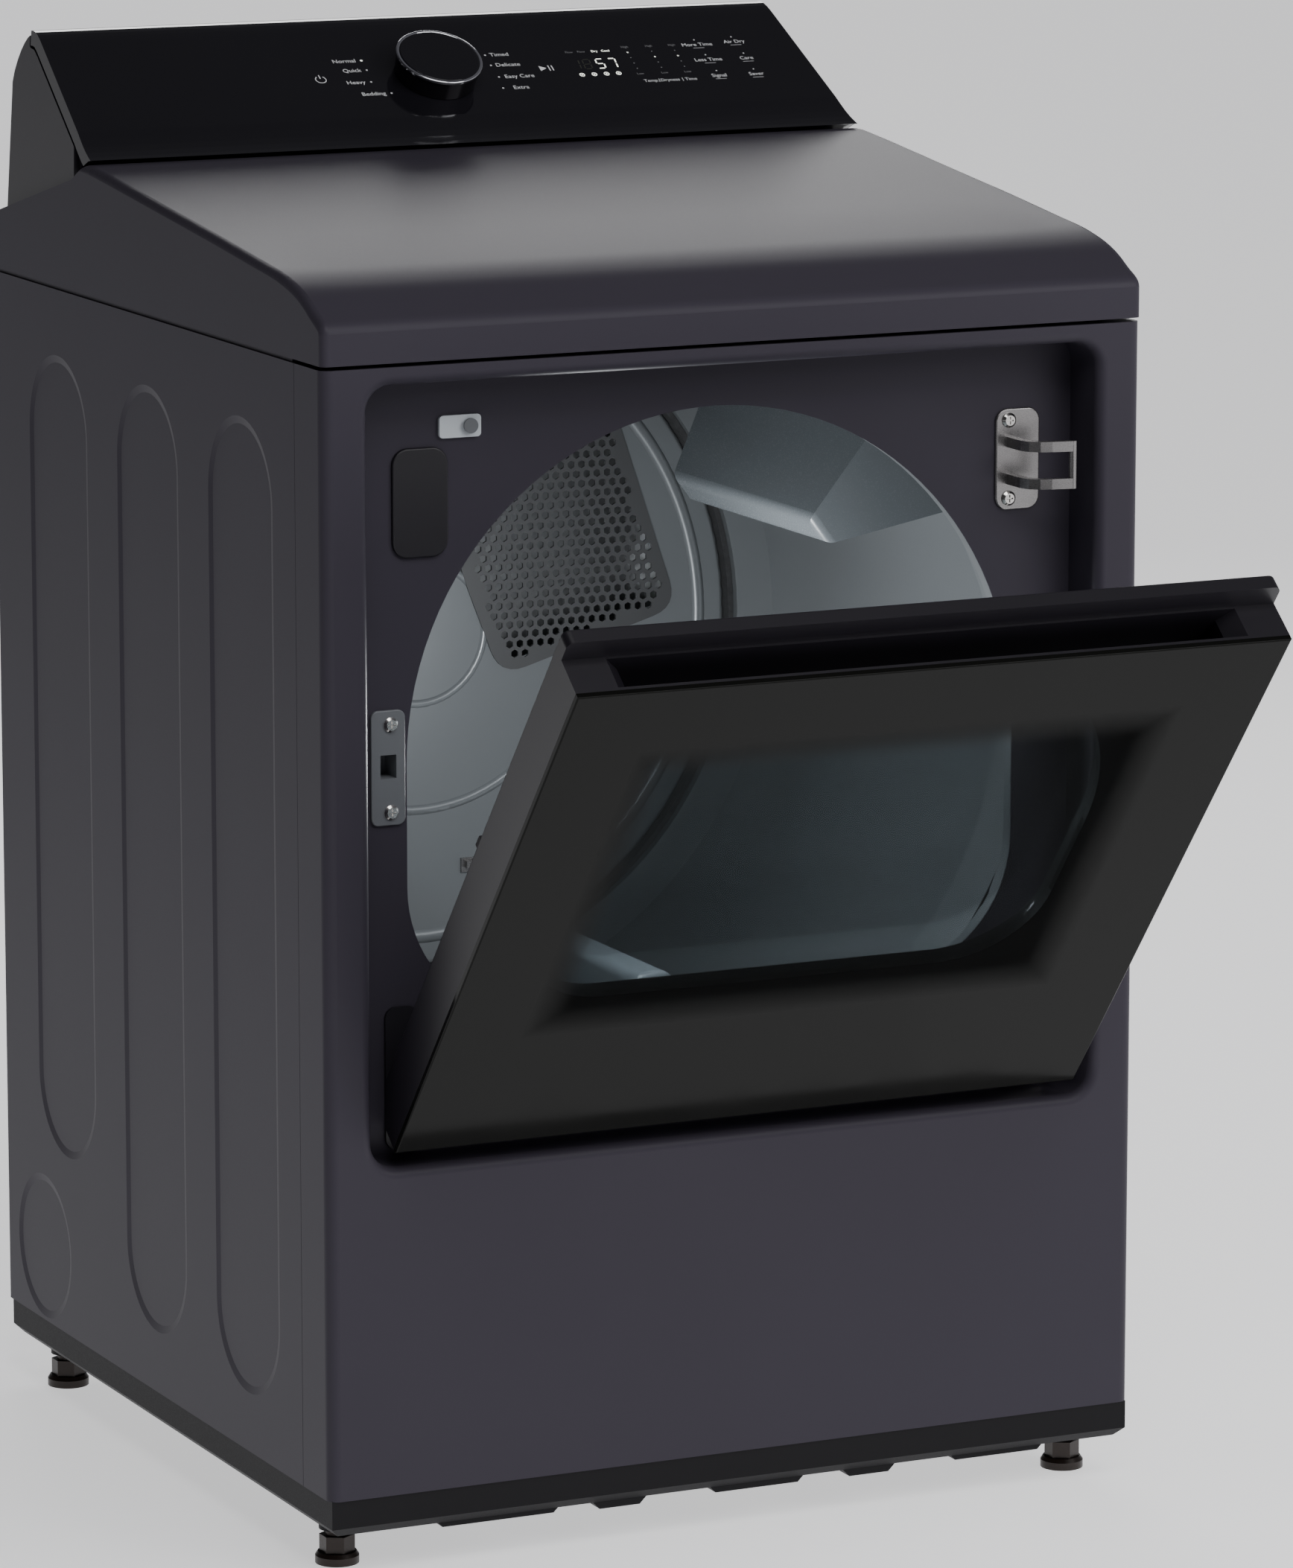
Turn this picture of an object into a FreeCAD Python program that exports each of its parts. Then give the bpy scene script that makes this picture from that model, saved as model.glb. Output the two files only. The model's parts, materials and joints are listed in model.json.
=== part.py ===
import FreeCAD, Part
import math
import os

# Front-loading clothes dryer, millimetres, +Z up, front facing -Y.
# Working frame: x = 0 on the centre plane, y = 0 on the front panel face, z = 0 on the floor.
# The last function moves everything so that the origin is the middle of the footprint.

V = FreeCAD.Vector

# ---- driving dimensions ----
WIDTH = 686.0            # cabinet width
DEPTH = 685.0            # cabinet depth, front face to rear face
PANEL_TOP = 925.0        # top edge of the front and side panels
SHEET = 1.0              # painted steel sheet
INNER_SHEET = 1.2        # bulkheads
DRUM_SHEET = 1.0
BASE_BOTTOM = 35.0
BASE_TOP = 64.0
SEAM_Y = 53.0            # seam between front panel and side panels
SEAM_GAP = 0.6
COVER_GAP = 3.0          # dark gap under the top cover
RECESS_SIDE = 37.0       # cabinet side to recess wall
RECESS_LOW = 318.0
RECESS_HIGH = 911.0
RECESS_DEPTH = 46.0
RECESS_R = 20.0
ROLL_R = 8.0             # rolled front rim of the recess
OPEN_HALF = 257.0        # door opening half width
OPEN_ARC_Z = 617.0       # centre height of its round top
OPEN_LOW = 417.0
OPEN_CORNER = 105.0
DRUM_R = 322.0
DRUM_Z = 612.0
BULK_GAP = 14.0          # recess floor to front bulkhead
RING_REACH = 58.0        # front bulkhead to drum
DRUM_REAR = 600.0
DRUM_RIM = 18.0
RING_IN = 39.0           # drum wall to the bulkhead rings that carry the felts
FELT_GAP = 0.4
FELT_T = 4.6
ROLLER_R = 35.0
ROLLER_GAP = 0.3
ROLLER_ANGLE = 55.0      # degrees below the horizontal
AXLE_R = 6.0
RUN_GAP = 0.05           # running clearance on axles
DOOR_EDGE_GAP = 17.0     # recess wall to door edge
DOOR_H = 518.0
DOOR_LIP_H = 536.0
DOOR_T = 49.0
GLASS_T = 4.5
FRAME_T = 36.0
DOOR_PROUD = 11.7        # closed door stands in front of the panel
DOOR_FOOT_GAP = 19.1     # recess floor line to door bottom
TILT_OPEN = 39.4         # degrees, the drawn position of the door
PIVOT_S = 10.0           # tilt pivot in the door, up from its bottom
PIVOT_T = 14.0           # and in from its outer face
PIN_R = 3.0
SWING_IN = 3.0           # door edge to swing axis
SWING_Y = 4.0
MOTOR_X = -110.0
MOTOR_Z = 150.0
MOTOR_R = 65.0
SHAFT_R = 6.0
PULLEY_R = 12.0
BELT_Y = 350.0
BELT_W = 10.0
BELT_T = 2.0
BELT_GAP = 0.3
DUCT_X = 60.0
DUCT_Z = 118.0
DUCT_R = 50.8
FASCIA_SLOPE = 31.4
FASCIA_Y = 563.0
FASCIA_Z = 1084.5
KNOB_X = -7.0
KNOB_UP = -7.0
KNOB_R = 36.0
KNOB_H = 20.0
FOOT_IN = 29.0           # cabinet side to foot centre
FOOT_R = 17.0
FOOT_FRONT = 57.0
FOOT_REAR = 57.0         # rear face to rear foot centre

# ---- dependent sizes ----
HALF = WIDTH / 2
RECESS = HALF - RECESS_SIDE
DOOR = RECESS - DOOR_EDGE_GAP
SWING_X = DOOR - SWING_IN
FLOOR = RECESS_DEPTH
BACK = FLOOR + SHEET
COVER_Z = PANEL_TOP + COVER_GAP
REAR_BULK = DRUM_REAR + 40
FRONT_BULK = FLOOR + BULK_GAP
DRUM_FRONT = FRONT_BULK + RING_REACH
RING_R = DRUM_R - RING_IN
DOOR_Y = -DOOR_PROUD
DOOR_Z = RECESS_LOW + DOOR_FOOT_GAP
PIVOT_Y = DOOR_Y + PIVOT_T
PIVOT_Z = DOOR_Z + PIVOT_S
BULK_HALF = HALF - 13

nodes = {}


def box(x0, x1, y0, y1, z0, z1):
    return Part.makeBox(x1 - x0, y1 - y0, z1 - z0, V(x0, y0, z0))


def rod(r, p, q):
    a = V(*p)
    d = V(*q) - a
    return Part.makeCylinder(r, d.Length, a, d)


def tube(ro, ri, p, q):
    return rod(ro, p, q).cut(rod(ri, p, q))


def cone(r0, r1, p, q):
    a = V(*p)
    d = V(*q) - a
    return Part.makeCone(r0, r1, d.Length, a, d)


def join(shapes):
    first = shapes[0]
    if len(shapes) == 1:
        return first
    return first.multiFuse(shapes[1:]).removeSplitter()


def wire_xz(pts, y):
    v = [V(x, y, z) for x, z in pts]
    return Part.makePolygon(v + [v[0]])


def slab_xz(pts, y0, y1):
    return Part.Face(wire_xz(pts, y0)).extrude(V(0, y1 - y0, 0))


def slab_yz(pts, x0, x1):
    v = [V(x0, y, z) for y, z in pts]
    return Part.Face(Part.makePolygon(v + [v[0]])).extrude(V(x1 - x0, 0, 0))


def slab_xy(pts, z0, z1):
    v = [V(x, y, z0) for x, y in pts]
    return Part.Face(Part.makePolygon(v + [v[0]])).extrude(V(0, 0, z1 - z0))


def arc(cx, cz, r, a0, a1, n):
    out = []
    for i in range(n + 1):
        a = math.radians(a0 + (a1 - a0) * i / n)
        out.append((cx + r * math.cos(a), cz + r * math.sin(a)))
    return out


def round_box(x0, x1, y0, y1, z0, z1, r):
    # rounded in the XZ plane
    b = box(x0, x1, y0, y1, z0, z1)
    edges = [e for e in b.Edges if abs(e.Vertexes[0].Y - e.Vertexes[1].Y) > 1e-6]
    return b.makeFillet(r, edges)


def stadium_wire(y, z0, z1, half, x):
    # upright slot outline in the YZ plane at x
    a = V(x, y - half, z0 + half)
    b = V(x, y, z0)
    c = V(x, y + half, z0 + half)
    d = V(x, y + half, z1 - half)
    e = V(x, y, z1)
    f = V(x, y - half, z1 - half)
    parts = [Part.Arc(a, b, c).toShape()]
    if z1 - z0 > 2 * half + 0.01:
        parts.append(Part.makeLine(c, d))
    parts.append(Part.Arc(d, e, f).toShape())
    if z1 - z0 > 2 * half + 0.01:
        parts.append(Part.makeLine(f, a))
    return Part.Wire(parts)


def mouth_wire(y, grow):
    # outline of the door opening, grown outward by the given amount
    h = OPEN_HALF + grow
    low = OPEN_LOW - grow
    r = OPEN_CORNER + grow
    zc = OPEN_ARC_Z
    k = math.sqrt(0.5)
    a = V(-h, y, zc)
    b = V(0, y, zc + h)
    c = V(h, y, zc)
    d = V(h, y, low + r)
    e = V(h - r + r * k, y, low + r - r * k)
    f = V(h - r, y, low)
    g = V(-h + r, y, low)
    i = V(-h + r - r * k, y, low + r - r * k)
    j = V(-h, y, low + r)
    return Part.Wire([Part.Arc(a, b, c).toShape(), Part.makeLine(c, d), Part.Arc(d, e, f).toShape(),
                      Part.makeLine(f, g), Part.Arc(g, i, j).toShape(), Part.makeLine(j, a)])


def mouth(grow, y0, y1):
    return Part.Face(mouth_wire(y0, grow)).extrude(V(0, y1 - y0, 0))


def side_half(y, z):
    # the console narrows towards its top and its rear
    return HALF - 5 - 0.05 * (y - 479) - 0.06 * (z - 1033)


def taper(pts, inset):
    left = [V(-side_half(y, z) + inset, y, z) for y, z in pts]
    right = [V(side_half(y, z) - inset, y, z) for y, z in pts]
    w0 = Part.makePolygon(left + [left[0]])
    w1 = Part.makePolygon(right + [right[0]])
    return Part.makeLoft([w0, w1], True, True)


def shift_normal(pts, d):
    # open polyline moved sideways, positive to the right of the direction of travel
    out = []
    for i in range(len(pts)):
        p = pts[max(i - 1, 0)]
        q = pts[min(i + 1, len(pts) - 1)]
        ty = q[0] - p[0]
        tz = q[1] - p[1]
        n = math.hypot(ty, tz)
        out.append((pts[i][0] + d * tz / n, pts[i][1] - d * ty / n))
    return out


def from_fascia(shape):
    # local frame: z out of the fascia, y up the slope, origin at its middle
    s = shape.copy()
    s.rotate(V(0, 0, 0), V(1, 0, 0), FASCIA_SLOPE)
    s.translate(V(0, FASCIA_Y, FASCIA_Z))
    return s


def keep(name, shape):
    nodes[name] = shape


# ---- base ----
def build_base():
    outer = box(-HALF + 2, HALF - 2, 2, DEPTH - 2, BASE_BOTTOM, BASE_TOP)
    low = [e for e in outer.Edges if e.BoundBox.ZMax < BASE_BOTTOM + 0.1]
    outer = outer.makeChamfer(7, low)
    pan = outer.cut(box(-HALF + 10, HALF - 10, 10, DEPTH - 10, BASE_BOTTOM + 5, BASE_TOP + 1))
    pan = pan.cut(box(-HALF + 4, HALF - 4, 4, DEPTH - 4, BASE_BOTTOM + 8, BASE_TOP - 2))
    pan = pan.cut(box(-HALF + 16, HALF - 16, 16, DEPTH - 16, BASE_BOTTOM - 1, BASE_BOTTOM + 3))
    bosses = []
    holes = []
    feet = {"foot_front_left": (-1, FOOT_FRONT), "foot_front_right": (1, FOOT_FRONT),
            "foot_rear_left": (-1, DEPTH - FOOT_REAR), "foot_rear_right": (1, DEPTH - FOOT_REAR)}
    for name, (side, y) in feet.items():
        x = side * (HALF - FOOT_IN)
        bosses.append(rod(14, (x, y, BASE_BOTTOM - 8), (x, y, BASE_BOTTOM + 24)))
        bosses.append(box(min(x, side * (HALF - 9)), max(x, side * (HALF - 9)), y - 8, y + 8,
                          BASE_BOTTOM + 1, BASE_BOTTOM + 20))
        holes.append(rod(5 + RUN_GAP, (x, y, BASE_BOTTOM - 9), (x, y, BASE_BOTTOM + 30)))
        hexa = [(x + 13.8 * math.cos(math.radians(30 + 60 * i)), y + 13.8 * math.sin(math.radians(30 + 60 * i)))
                for i in range(6)]
        foot = join([rod(FOOT_R, (x, y, 0), (x, y, 6)), cone(FOOT_R, FOOT_R - 2, (x, y, 6), (x, y, 9)), slab_xy(hexa, 9, BASE_BOTTOM - 13),
                     rod(9, (x, y, BASE_BOTTOM - 14), (x, y, BASE_BOTTOM - 8.3)),
                     rod(5, (x, y, 20), (x, y, BASE_BOTTOM + 26))])
        keep(name, foot)
    pan = join([pan] + bosses)
    # stiffening beads that show under the front and left edges
    for x0, x1, drop in ((-250, -150, 4), (-120, -75, 6), (-20, 60, 5), (95, 140, 6), (190, 270, 4)):
        bead = box(x0, x1, 10, 26, BASE_BOTTOM - drop, BASE_BOTTOM + 4)
        ends = [e for e in bead.Edges if e.BoundBox.YLength > 10 and e.BoundBox.ZMax < BASE_BOTTOM]
        pan = pan.fuse(bead.makeChamfer(drop - 0.5, ends))
    for h in holes:
        pan = pan.cut(h)
    keep("base_pan", pan)


# ---- cabinet panels ----
def press(panel, side, y, z0, z1, half):
    # shallow pressed oval with sloping edges, metal carried inward behind it
    face = side * HALF
    inner = side * (HALF - SHEET)
    floor = side * (HALF - 1.3)
    back = side * (HALF - 1.3 - SHEET)
    boss = Part.makeLoft([stadium_wire(y, z0 - 1, z1 + 1, half + 1, inner),
                          stadium_wire(y, z0 + 5, z1 - 5, half - 5, back)], True)
    dish = Part.makeLoft([stadium_wire(y, z0, z1, half, face),
                          stadium_wire(y, z0 + 6, z1 - 6, half - 6, floor)], True)
    return panel.fuse(boss).cut(dish)


def build_sides():
    for side, name in ((-1, "left_side_panel"), (1, "right_side_panel")):
        def bar(a, b, y0, y1, z0, z1):
            lo = min(side * a, side * b)
            return box(lo, lo + abs(a - b), y0, y1, z0, z1)
        y0 = SEAM_Y + SEAM_GAP
        y1 = DEPTH - SHEET
        parts = [bar(HALF, HALF - SHEET, y0, y1, BASE_TOP, PANEL_TOP),
                 bar(HALF, HALF - 16, y0, y1, PANEL_TOP - SHEET, PANEL_TOP),
                 bar(HALF, HALF - 14, y0, y0 + SHEET, BASE_TOP, PANEL_TOP),
                 bar(HALF, HALF - 14, y1 - SHEET, y1, BASE_TOP, PANEL_TOP),
                 bar(HALF, HALF - 6, y0, y1, BASE_TOP, BASE_TOP + SHEET)]
        panel = join(parts)
        top = PANEL_TOP - 53
        for y, z0 in ((161.0, 111.0), (351.0, 114.0), (544.0, 214.0)):
            panel = press(panel, side, y, z0, top, 64.0)
        panel = press(panel, side, 601.0, 66.5 + 0.5, 187.5, 60.0)
        keep(name, panel)


def build_front():
    corner = RECESS_R
    outer = box(-HALF, HALF, 0, SEAM_Y, BASE_TOP, PANEL_TOP)
    edges = [e for e in outer.Edges if e.BoundBox.ZLength > 100 and e.BoundBox.YMax < 0.1]
    outer = outer.makeFillet(9, edges)
    outer = outer.cut(round_box(-RECESS, RECESS, -5, FLOOR, RECESS_LOW, RECESS_HIGH, corner))

    def rim(shape, y, half, z0, z1):
        found = []
        for e in shape.Edges:
            b = e.BoundBox
            if b.YMax < y + 0.01 and b.YMin > y - 0.01 and b.XMin > -half - 0.01 and b.XMax < half + 0.01:
                if b.ZMin > z0 - 0.01 and b.ZMax < z1 + 0.01:
                    found.append(e)
        return found
    outer = outer.makeFillet(ROLL_R, rim(outer, 0, RECESS, RECESS_LOW, RECESS_HIGH))
    s = SHEET
    inner = box(-HALF + s, HALF - s, s, SEAM_Y + 5, BASE_TOP + s, PANEL_TOP - s)
    edges = [e for e in inner.Edges if e.BoundBox.ZLength > 100 and e.BoundBox.YMax < s + 0.1]
    inner = inner.makeFillet(9 - s, edges)
    inner = inner.cut(round_box(-RECESS - s, RECESS + s, -5, BACK, RECESS_LOW - s, RECESS_HIGH + s, corner + s))
    inner = inner.makeFillet(ROLL_R - s, rim(inner, s, RECESS + s, RECESS_LOW - s, RECESS_HIGH + s))
    panel = outer.cut(inner)
    panel = panel.cut(mouth(0, FLOOR - 2, BACK + 2))
    # holes for the fittings on the recess floor
    lx = -RECESS + 33
    panel = panel.cut(box(lx - 7.5, lx + 7.5, FLOOR - 1, BACK + 1, 607, 627))
    panel = panel.cut(rod(4, (-RECESS + 100.5, FLOOR - 1, 871.7), (-RECESS + 100.5, BACK + 1, 871.7)))
    for x, z in screw_spots():
        panel = panel.cut(rod(2, (x, FLOOR - 1, z), (x, BACK + 1, z)))
    keep("front_panel", panel)


def screw_spots():
    return [(-RECESS + 35, 649.0), (-RECESS + 35, 582.0), (RECESS - 55, 848.0), (RECESS - 55, 787.0)]


def cover_face(inset, side, low):
    # end outline of the top cover in the YZ plane, moved inward by the inset
    z = COVER_Z
    front = [(0, z + 24), (2.5, z + 29.5), (8, z + 33.5), (16, z + 37.2), (26, z + 42.6), (37, z + 48),
             (52, z + 53.4), (70, z + 57.8), (90, z + 61.4), (112, z + 64)]
    rise = 36.0 / 334.0
    front += [(200, z + 64 + 88 * rise + 0.6), (300, z + 84.6), (400, z + 95.3), (440, z + 99.4), (468, z + 102.0)]
    if inset:
        front = shift_normal(front, inset)
        front[0] = (inset, front[0][1])
    rear = [(480, z + 102.2 - inset), (507, z + 88.5 - inset), (DEPTH - 2 - inset, z + 45 - inset)]
    pts = [V(side, y, h) for y, h in front]
    curve = Part.BSplineCurve()
    curve.interpolate(pts)
    tail = [pts[-1]] + [V(side, y, h) for y, h in rear] + [V(side, DEPTH - 2 - inset, low), V(side, inset, low), pts[0]]
    lines = [Part.makeLine(tail[i], tail[i + 1]) for i in range(len(tail) - 1)]
    return Part.Face(Part.Wire([curve.toShape()] + lines))


def build_cover():
    s = SHEET
    outer = cover_face(0, -HALF, COVER_Z).extrude(V(WIDTH, 0, 0))
    soft = []
    for e in outer.Edges:
        b = e.BoundBox
        on_side = b.XLength < 0.01 and abs(abs(b.XMin) - HALF) < 0.1
        if on_side and b.ZMin > COVER_Z + 20 and b.YMin < 475:
            soft.append(e)
        if on_side and b.ZLength > 10 and b.YMax < 0.1:
            soft.append(e)
    outer = outer.makeFillet(6, soft)
    x = HALF - 2.8
    inner = cover_face(2.0, -x, COVER_Z - 1).extrude(V(2 * x, 0, 0))
    shell = outer.cut(inner)
    seats = [box(-x - 1, -x + 12, 60, DEPTH - 8, PANEL_TOP, COVER_Z + 4),
             box(x - 12, x + 1, 60, DEPTH - 8, PANEL_TOP, COVER_Z + 4)]
    keep("top_cover", join([shell] + seats))


def build_rear():
    plate = box(-HALF + 0.5, HALF - 0.5, DEPTH - SHEET, DEPTH, BASE_TOP, PANEL_TOP - 2)
    plate = plate.cut(rod(DUCT_R + 2, (DUCT_X, DEPTH - 3, DUCT_Z), (DUCT_X, DEPTH + 3, DUCT_Z)))
    plate = plate.cut(box(-HALF + 60, -HALF + 160, DEPTH - 3, DEPTH + 3, 800, 880))
    slots = []
    for i in range(7):
        z = 330 + 22 * i
        slots.append(round_box(-180, -60, DEPTH - 3, DEPTH + 3, z, z + 7, 3))
    plate = plate.cut(Part.makeCompound(slots))
    keep("rear_panel", plate)
    block = join([box(-HALF + 56, -HALF + 164, DEPTH - SHEET - 22, DEPTH - SHEET, 796, 884),
                  box(-HALF + 62, -HALF + 158, DEPTH - SHEET - 1, DEPTH + 1.5, 802, 878)])
    block = block.cut(rod(11, (-HALF + 110, DEPTH - 16, 840), (-HALF + 110, DEPTH + 5, 840)))
    keep("power_inlet", block)


# ---- bulkheads, felts and grille ----
def duct_half():
    return 105.0


def foot_clear(y):
    # corner notches that clear the foot bosses of the base pan
    a = BULK_HALF + 1
    b = HALF - FOOT_IN - 18
    return Part.makeCompound([box(-a, -b, y - 2, y + 4, BASE_BOTTOM, BASE_TOP + 2),
                              box(b, a, y - 2, y + 4, BASE_BOTTOM, BASE_TOP + 2)])


def build_bulkheads():
    s = INNER_SHEET
    plate = box(-BULK_HALF, BULK_HALF, FRONT_BULK, FRONT_BULK + s, BASE_BOTTOM + 5, PANEL_TOP - 5)
    ring = tube(RING_R, RING_R - s, (0, FRONT_BULK, DRUM_Z), (0, DRUM_FRONT, DRUM_Z))
    collar = mouth(3, BACK, FRONT_BULK + s).cut(mouth(1.5, BACK - 1, FRONT_BULK + 3))
    bulk = join([plate, ring, collar]).cut(mouth(1.5, FRONT_BULK - 1, FRONT_BULK + 3))
    w = duct_half() + 6
    low = DRUM_Z - RING_R - 5
    bulk = bulk.cut(box(-w, w, FRONT_BULK + s, DRUM_FRONT + 2, low, low + 100))
    bulk = bulk.cut(box(-w + 4, w - 4, FRONT_BULK - 2, FRONT_BULK + s + 1, OPEN_LOW - 30, OPEN_LOW + 2))
    cx = -RECESS + 33
    bulk = bulk.cut(box(cx - 20, cx + 16, FRONT_BULK - 1, FRONT_BULK + 12, 598, 636))
    bulk = bulk.cut(foot_clear(FRONT_BULK))
    keep("front_bulkhead", bulk)
    felt = tube(RING_R + FELT_T, RING_R, (0, DRUM_FRONT - 14, DRUM_Z), (0, DRUM_FRONT - 2, DRUM_Z))
    felt = felt.cut(box(-w, w, DRUM_FRONT - 20, DRUM_FRONT + 2, low, low + 100))
    keep("front_felt_seal", felt)

    plate = box(-BULK_HALF, BULK_HALF, REAR_BULK, REAR_BULK + s, BASE_BOTTOM + 5, PANEL_TOP - 5)
    face = DRUM_REAR + 13
    dish = rod(RING_R, (0, face, DRUM_Z), (0, REAR_BULK, DRUM_Z))
    front = [e for e in dish.Edges if e.BoundBox.YMax < face + 0.1]
    dish = dish.makeFillet(5, front)
    hollow = rod(RING_R - s, (0, face + s, DRUM_Z), (0, REAR_BULK + s + 1, DRUM_Z))
    hollow = hollow.makeFillet(5 - s, [e for e in hollow.Edges if e.BoundBox.YMax < face + s + 0.1])
    bulk = join([plate, dish]).cut(hollow)
    for r, w in ((258.0, 7.0), (150.0, 5.0), (60.0, 4.0)):
        rib = Part.makeTorus(RING_R * r / 283.0, w, V(0, face + w * 0.55, DRUM_Z), V(0, 1, 0))
        bulk = bulk.fuse(rib.common(rod(RING_R - 5, (0, face - 6, DRUM_Z), (0, face + 0.8, DRUM_Z))))
    outline = grille_outline(0)
    cutter = slab_xz(grille_outline(-9), face - 6, face + s + 1)
    bulk = bulk.cut(slab_xz(outline, face - 6, face)).cut(cutter)
    bulk = bulk.cut(foot_clear(REAR_BULK))
    keep("rear_bulkhead", bulk)
    felt = tube(RING_R + FELT_T, RING_R, (0, DRUM_REAR + 6, DRUM_Z), (0, DRUM_REAR + 22, DRUM_Z))
    keep("rear_felt_seal", felt)

    base = slab_xz(outline, face - 2.2, face)
    holes = []
    pitch = 9.5
    inner = grille_outline(-11)
    row = 0
    z = DRUM_Z - 40
    while z < DRUM_Z + 200:
        x = 30 + (pitch / 2 if row % 2 else 0)
        while x < 250:
            if inside(inner, x, z):
                hexa = [(x + 3.5 * math.cos(math.radians(30 + 60 * i)),
                         z + 3.5 * math.sin(math.radians(30 + 60 * i))) for i in range(6)]
                holes.append(wire_xz(hexa, face - 2.2))
            x += pitch
        z += pitch * 0.866
        row += 1
    sheet = Part.Face([wire_xz(outline, face - 2.2)] + holes)
    if not sheet.isValid():
        sheet.validate()
    base = sheet.extrude(V(0, 2.2, 0))
    keep("inlet_grille", base)

    a = math.radians(-77)
    x = 205 * math.cos(a)
    z = DRUM_Z + 205 * math.sin(a)
    clip = join([box(x - 9, x + 9, face - 3, face, z - 6, z + 6), box(x - 6, x + 6, face - 8, face - 2, z - 2, z + 4)])
    keep("moisture_sensor", clip)


def inside(pts, x, z):
    hit = False
    j = len(pts) - 1
    for i in range(len(pts)):
        xi, zi = pts[i]
        xj, zj = pts[j]
        if (zi > z) != (zj > z) and x < (xj - xi) * (z - zi) / (zj - zi) + xi:
            hit = not hit
        j = i
    return hit


def grille_outline(grow):
    # fan-shaped grille on the upper right of the rear wall, corners rounded
    k = RING_R / 283.0
    corners = [(238, 618), (74, 570), (33, 676), (76, 806), (176, 800)]
    cx = sum(p[0] for p in corners) / 5.0
    cz = sum(p[1] for p in corners) / 5.0
    grown = []
    for x, z in corners:
        d = math.hypot(x - cx, z - cz)
        f = (d + grow * 1.25) / d
        grown.append((k * (cx + (x - cx) * f), DRUM_Z + k * (cz + (z - cz) * f - 612.0)))
    out = []
    n = len(grown)
    r = 24.0 + grow * 0.8
    for i in range(n):
        p0 = grown[i - 1]
        p1 = grown[i]
        p2 = grown[(i + 1) % n]
        d0 = math.hypot(p0[0] - p1[0], p0[1] - p1[1])
        d2 = math.hypot(p2[0] - p1[0], p2[1] - p1[1])
        a = (p1[0] + (p0[0] - p1[0]) * r / d0, p1[1] + (p0[1] - p1[1]) * r / d0)
        c = (p1[0] + (p2[0] - p1[0]) * r / d2, p1[1] + (p2[1] - p1[1]) * r / d2)
        for j in range(7):
            t = j / 6.0
            out.append(((1 - t) ** 2 * a[0] + 2 * t * (1 - t) * p1[0] + t * t * c[0],
                        (1 - t) ** 2 * a[1] + 2 * t * (1 - t) * p1[1] + t * t * c[1]))
    return out


# ---- drum ----
def build_drum():
    t = DRUM_SHEET
    rim_r = RING_R + FELT_T + FELT_GAP
    shell = tube(DRUM_R, DRUM_R - t, (0, DRUM_FRONT, DRUM_Z), (0, DRUM_REAR, DRUM_Z))
    parts = [shell,
             tube(DRUM_R - t / 2, rim_r, (0, DRUM_FRONT, DRUM_Z), (0, DRUM_FRONT + t, DRUM_Z)),
             tube(DRUM_R - t / 2, rim_r, (0, DRUM_REAR - t, DRUM_Z), (0, DRUM_REAR, DRUM_Z)),
             tube(rim_r + t, rim_r, (0, DRUM_FRONT - DRUM_RIM, DRUM_Z), (0, DRUM_FRONT + t, DRUM_Z)),
             tube(rim_r + t, rim_r, (0, DRUM_REAR - t, DRUM_Z), (0, DRUM_REAR + DRUM_RIM, DRUM_Z))]
    keep("drum_shell", join(parts))
    y0 = DRUM_FRONT + 62
    y1 = DRUM_REAR - 100
    bound = rod(DRUM_R - t, (0, y0 - 5, DRUM_Z), (0, y1 + 5, DRUM_Z))
    lifters = []
    for a in (37.0, 157.0, 277.0):
        base = DRUM_R + 4
        crest = DRUM_R - 107
        w0 = Part.makePolygon([V(base, y0, -58), V(base, y1, -58), V(base, y1, 58), V(base, y0, 58), V(base, y0, -58)])
        w1 = Part.makePolygon([V(crest, y0 + 34, -13), V(crest, y1 - 34, -13), V(crest, y1 - 34, 13),
                               V(crest, y0 + 34, 13), V(crest, y0 + 34, -13)])
        fin = Part.makeLoft([w0, w1], True, True)
        tips = [e for e in fin.Edges if e.BoundBox.XMin > crest - 1 and e.BoundBox.XMax < crest + 1]
        fin = fin.makeFillet(10, tips)
        core0 = Part.makePolygon([V(base + 5, y0 + 8, -50), V(base + 5, y1 - 8, -50), V(base + 5, y1 - 8, 50),
                                  V(base + 5, y0 + 8, 50), V(base + 5, y0 + 8, -50)])
        core1 = Part.makePolygon([V(crest + 8, y0 + 38, -7), V(crest + 8, y1 - 38, -7), V(crest + 8, y1 - 38, 7),
                                  V(crest + 8, y0 + 38, 7), V(crest + 8, y0 + 38, -7)])
        fin = fin.cut(Part.makeLoft([core0, core1], True, True))
        fin.rotate(V(0, 0, 0), V(0, 1, 0), -a)
        fin.translate(V(0, 0, DRUM_Z))
        lifters.append(fin.common(bound))
    keep("drum_lifters", Part.makeCompound(lifters))


def roller_spots():
    a = math.radians(ROLLER_ANGLE)
    d = DRUM_R + ROLLER_GAP + ROLLER_R
    return [(-d * math.cos(a), DRUM_Z - d * math.sin(a)), (d * math.cos(a), DRUM_Z - d * math.sin(a))]


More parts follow.
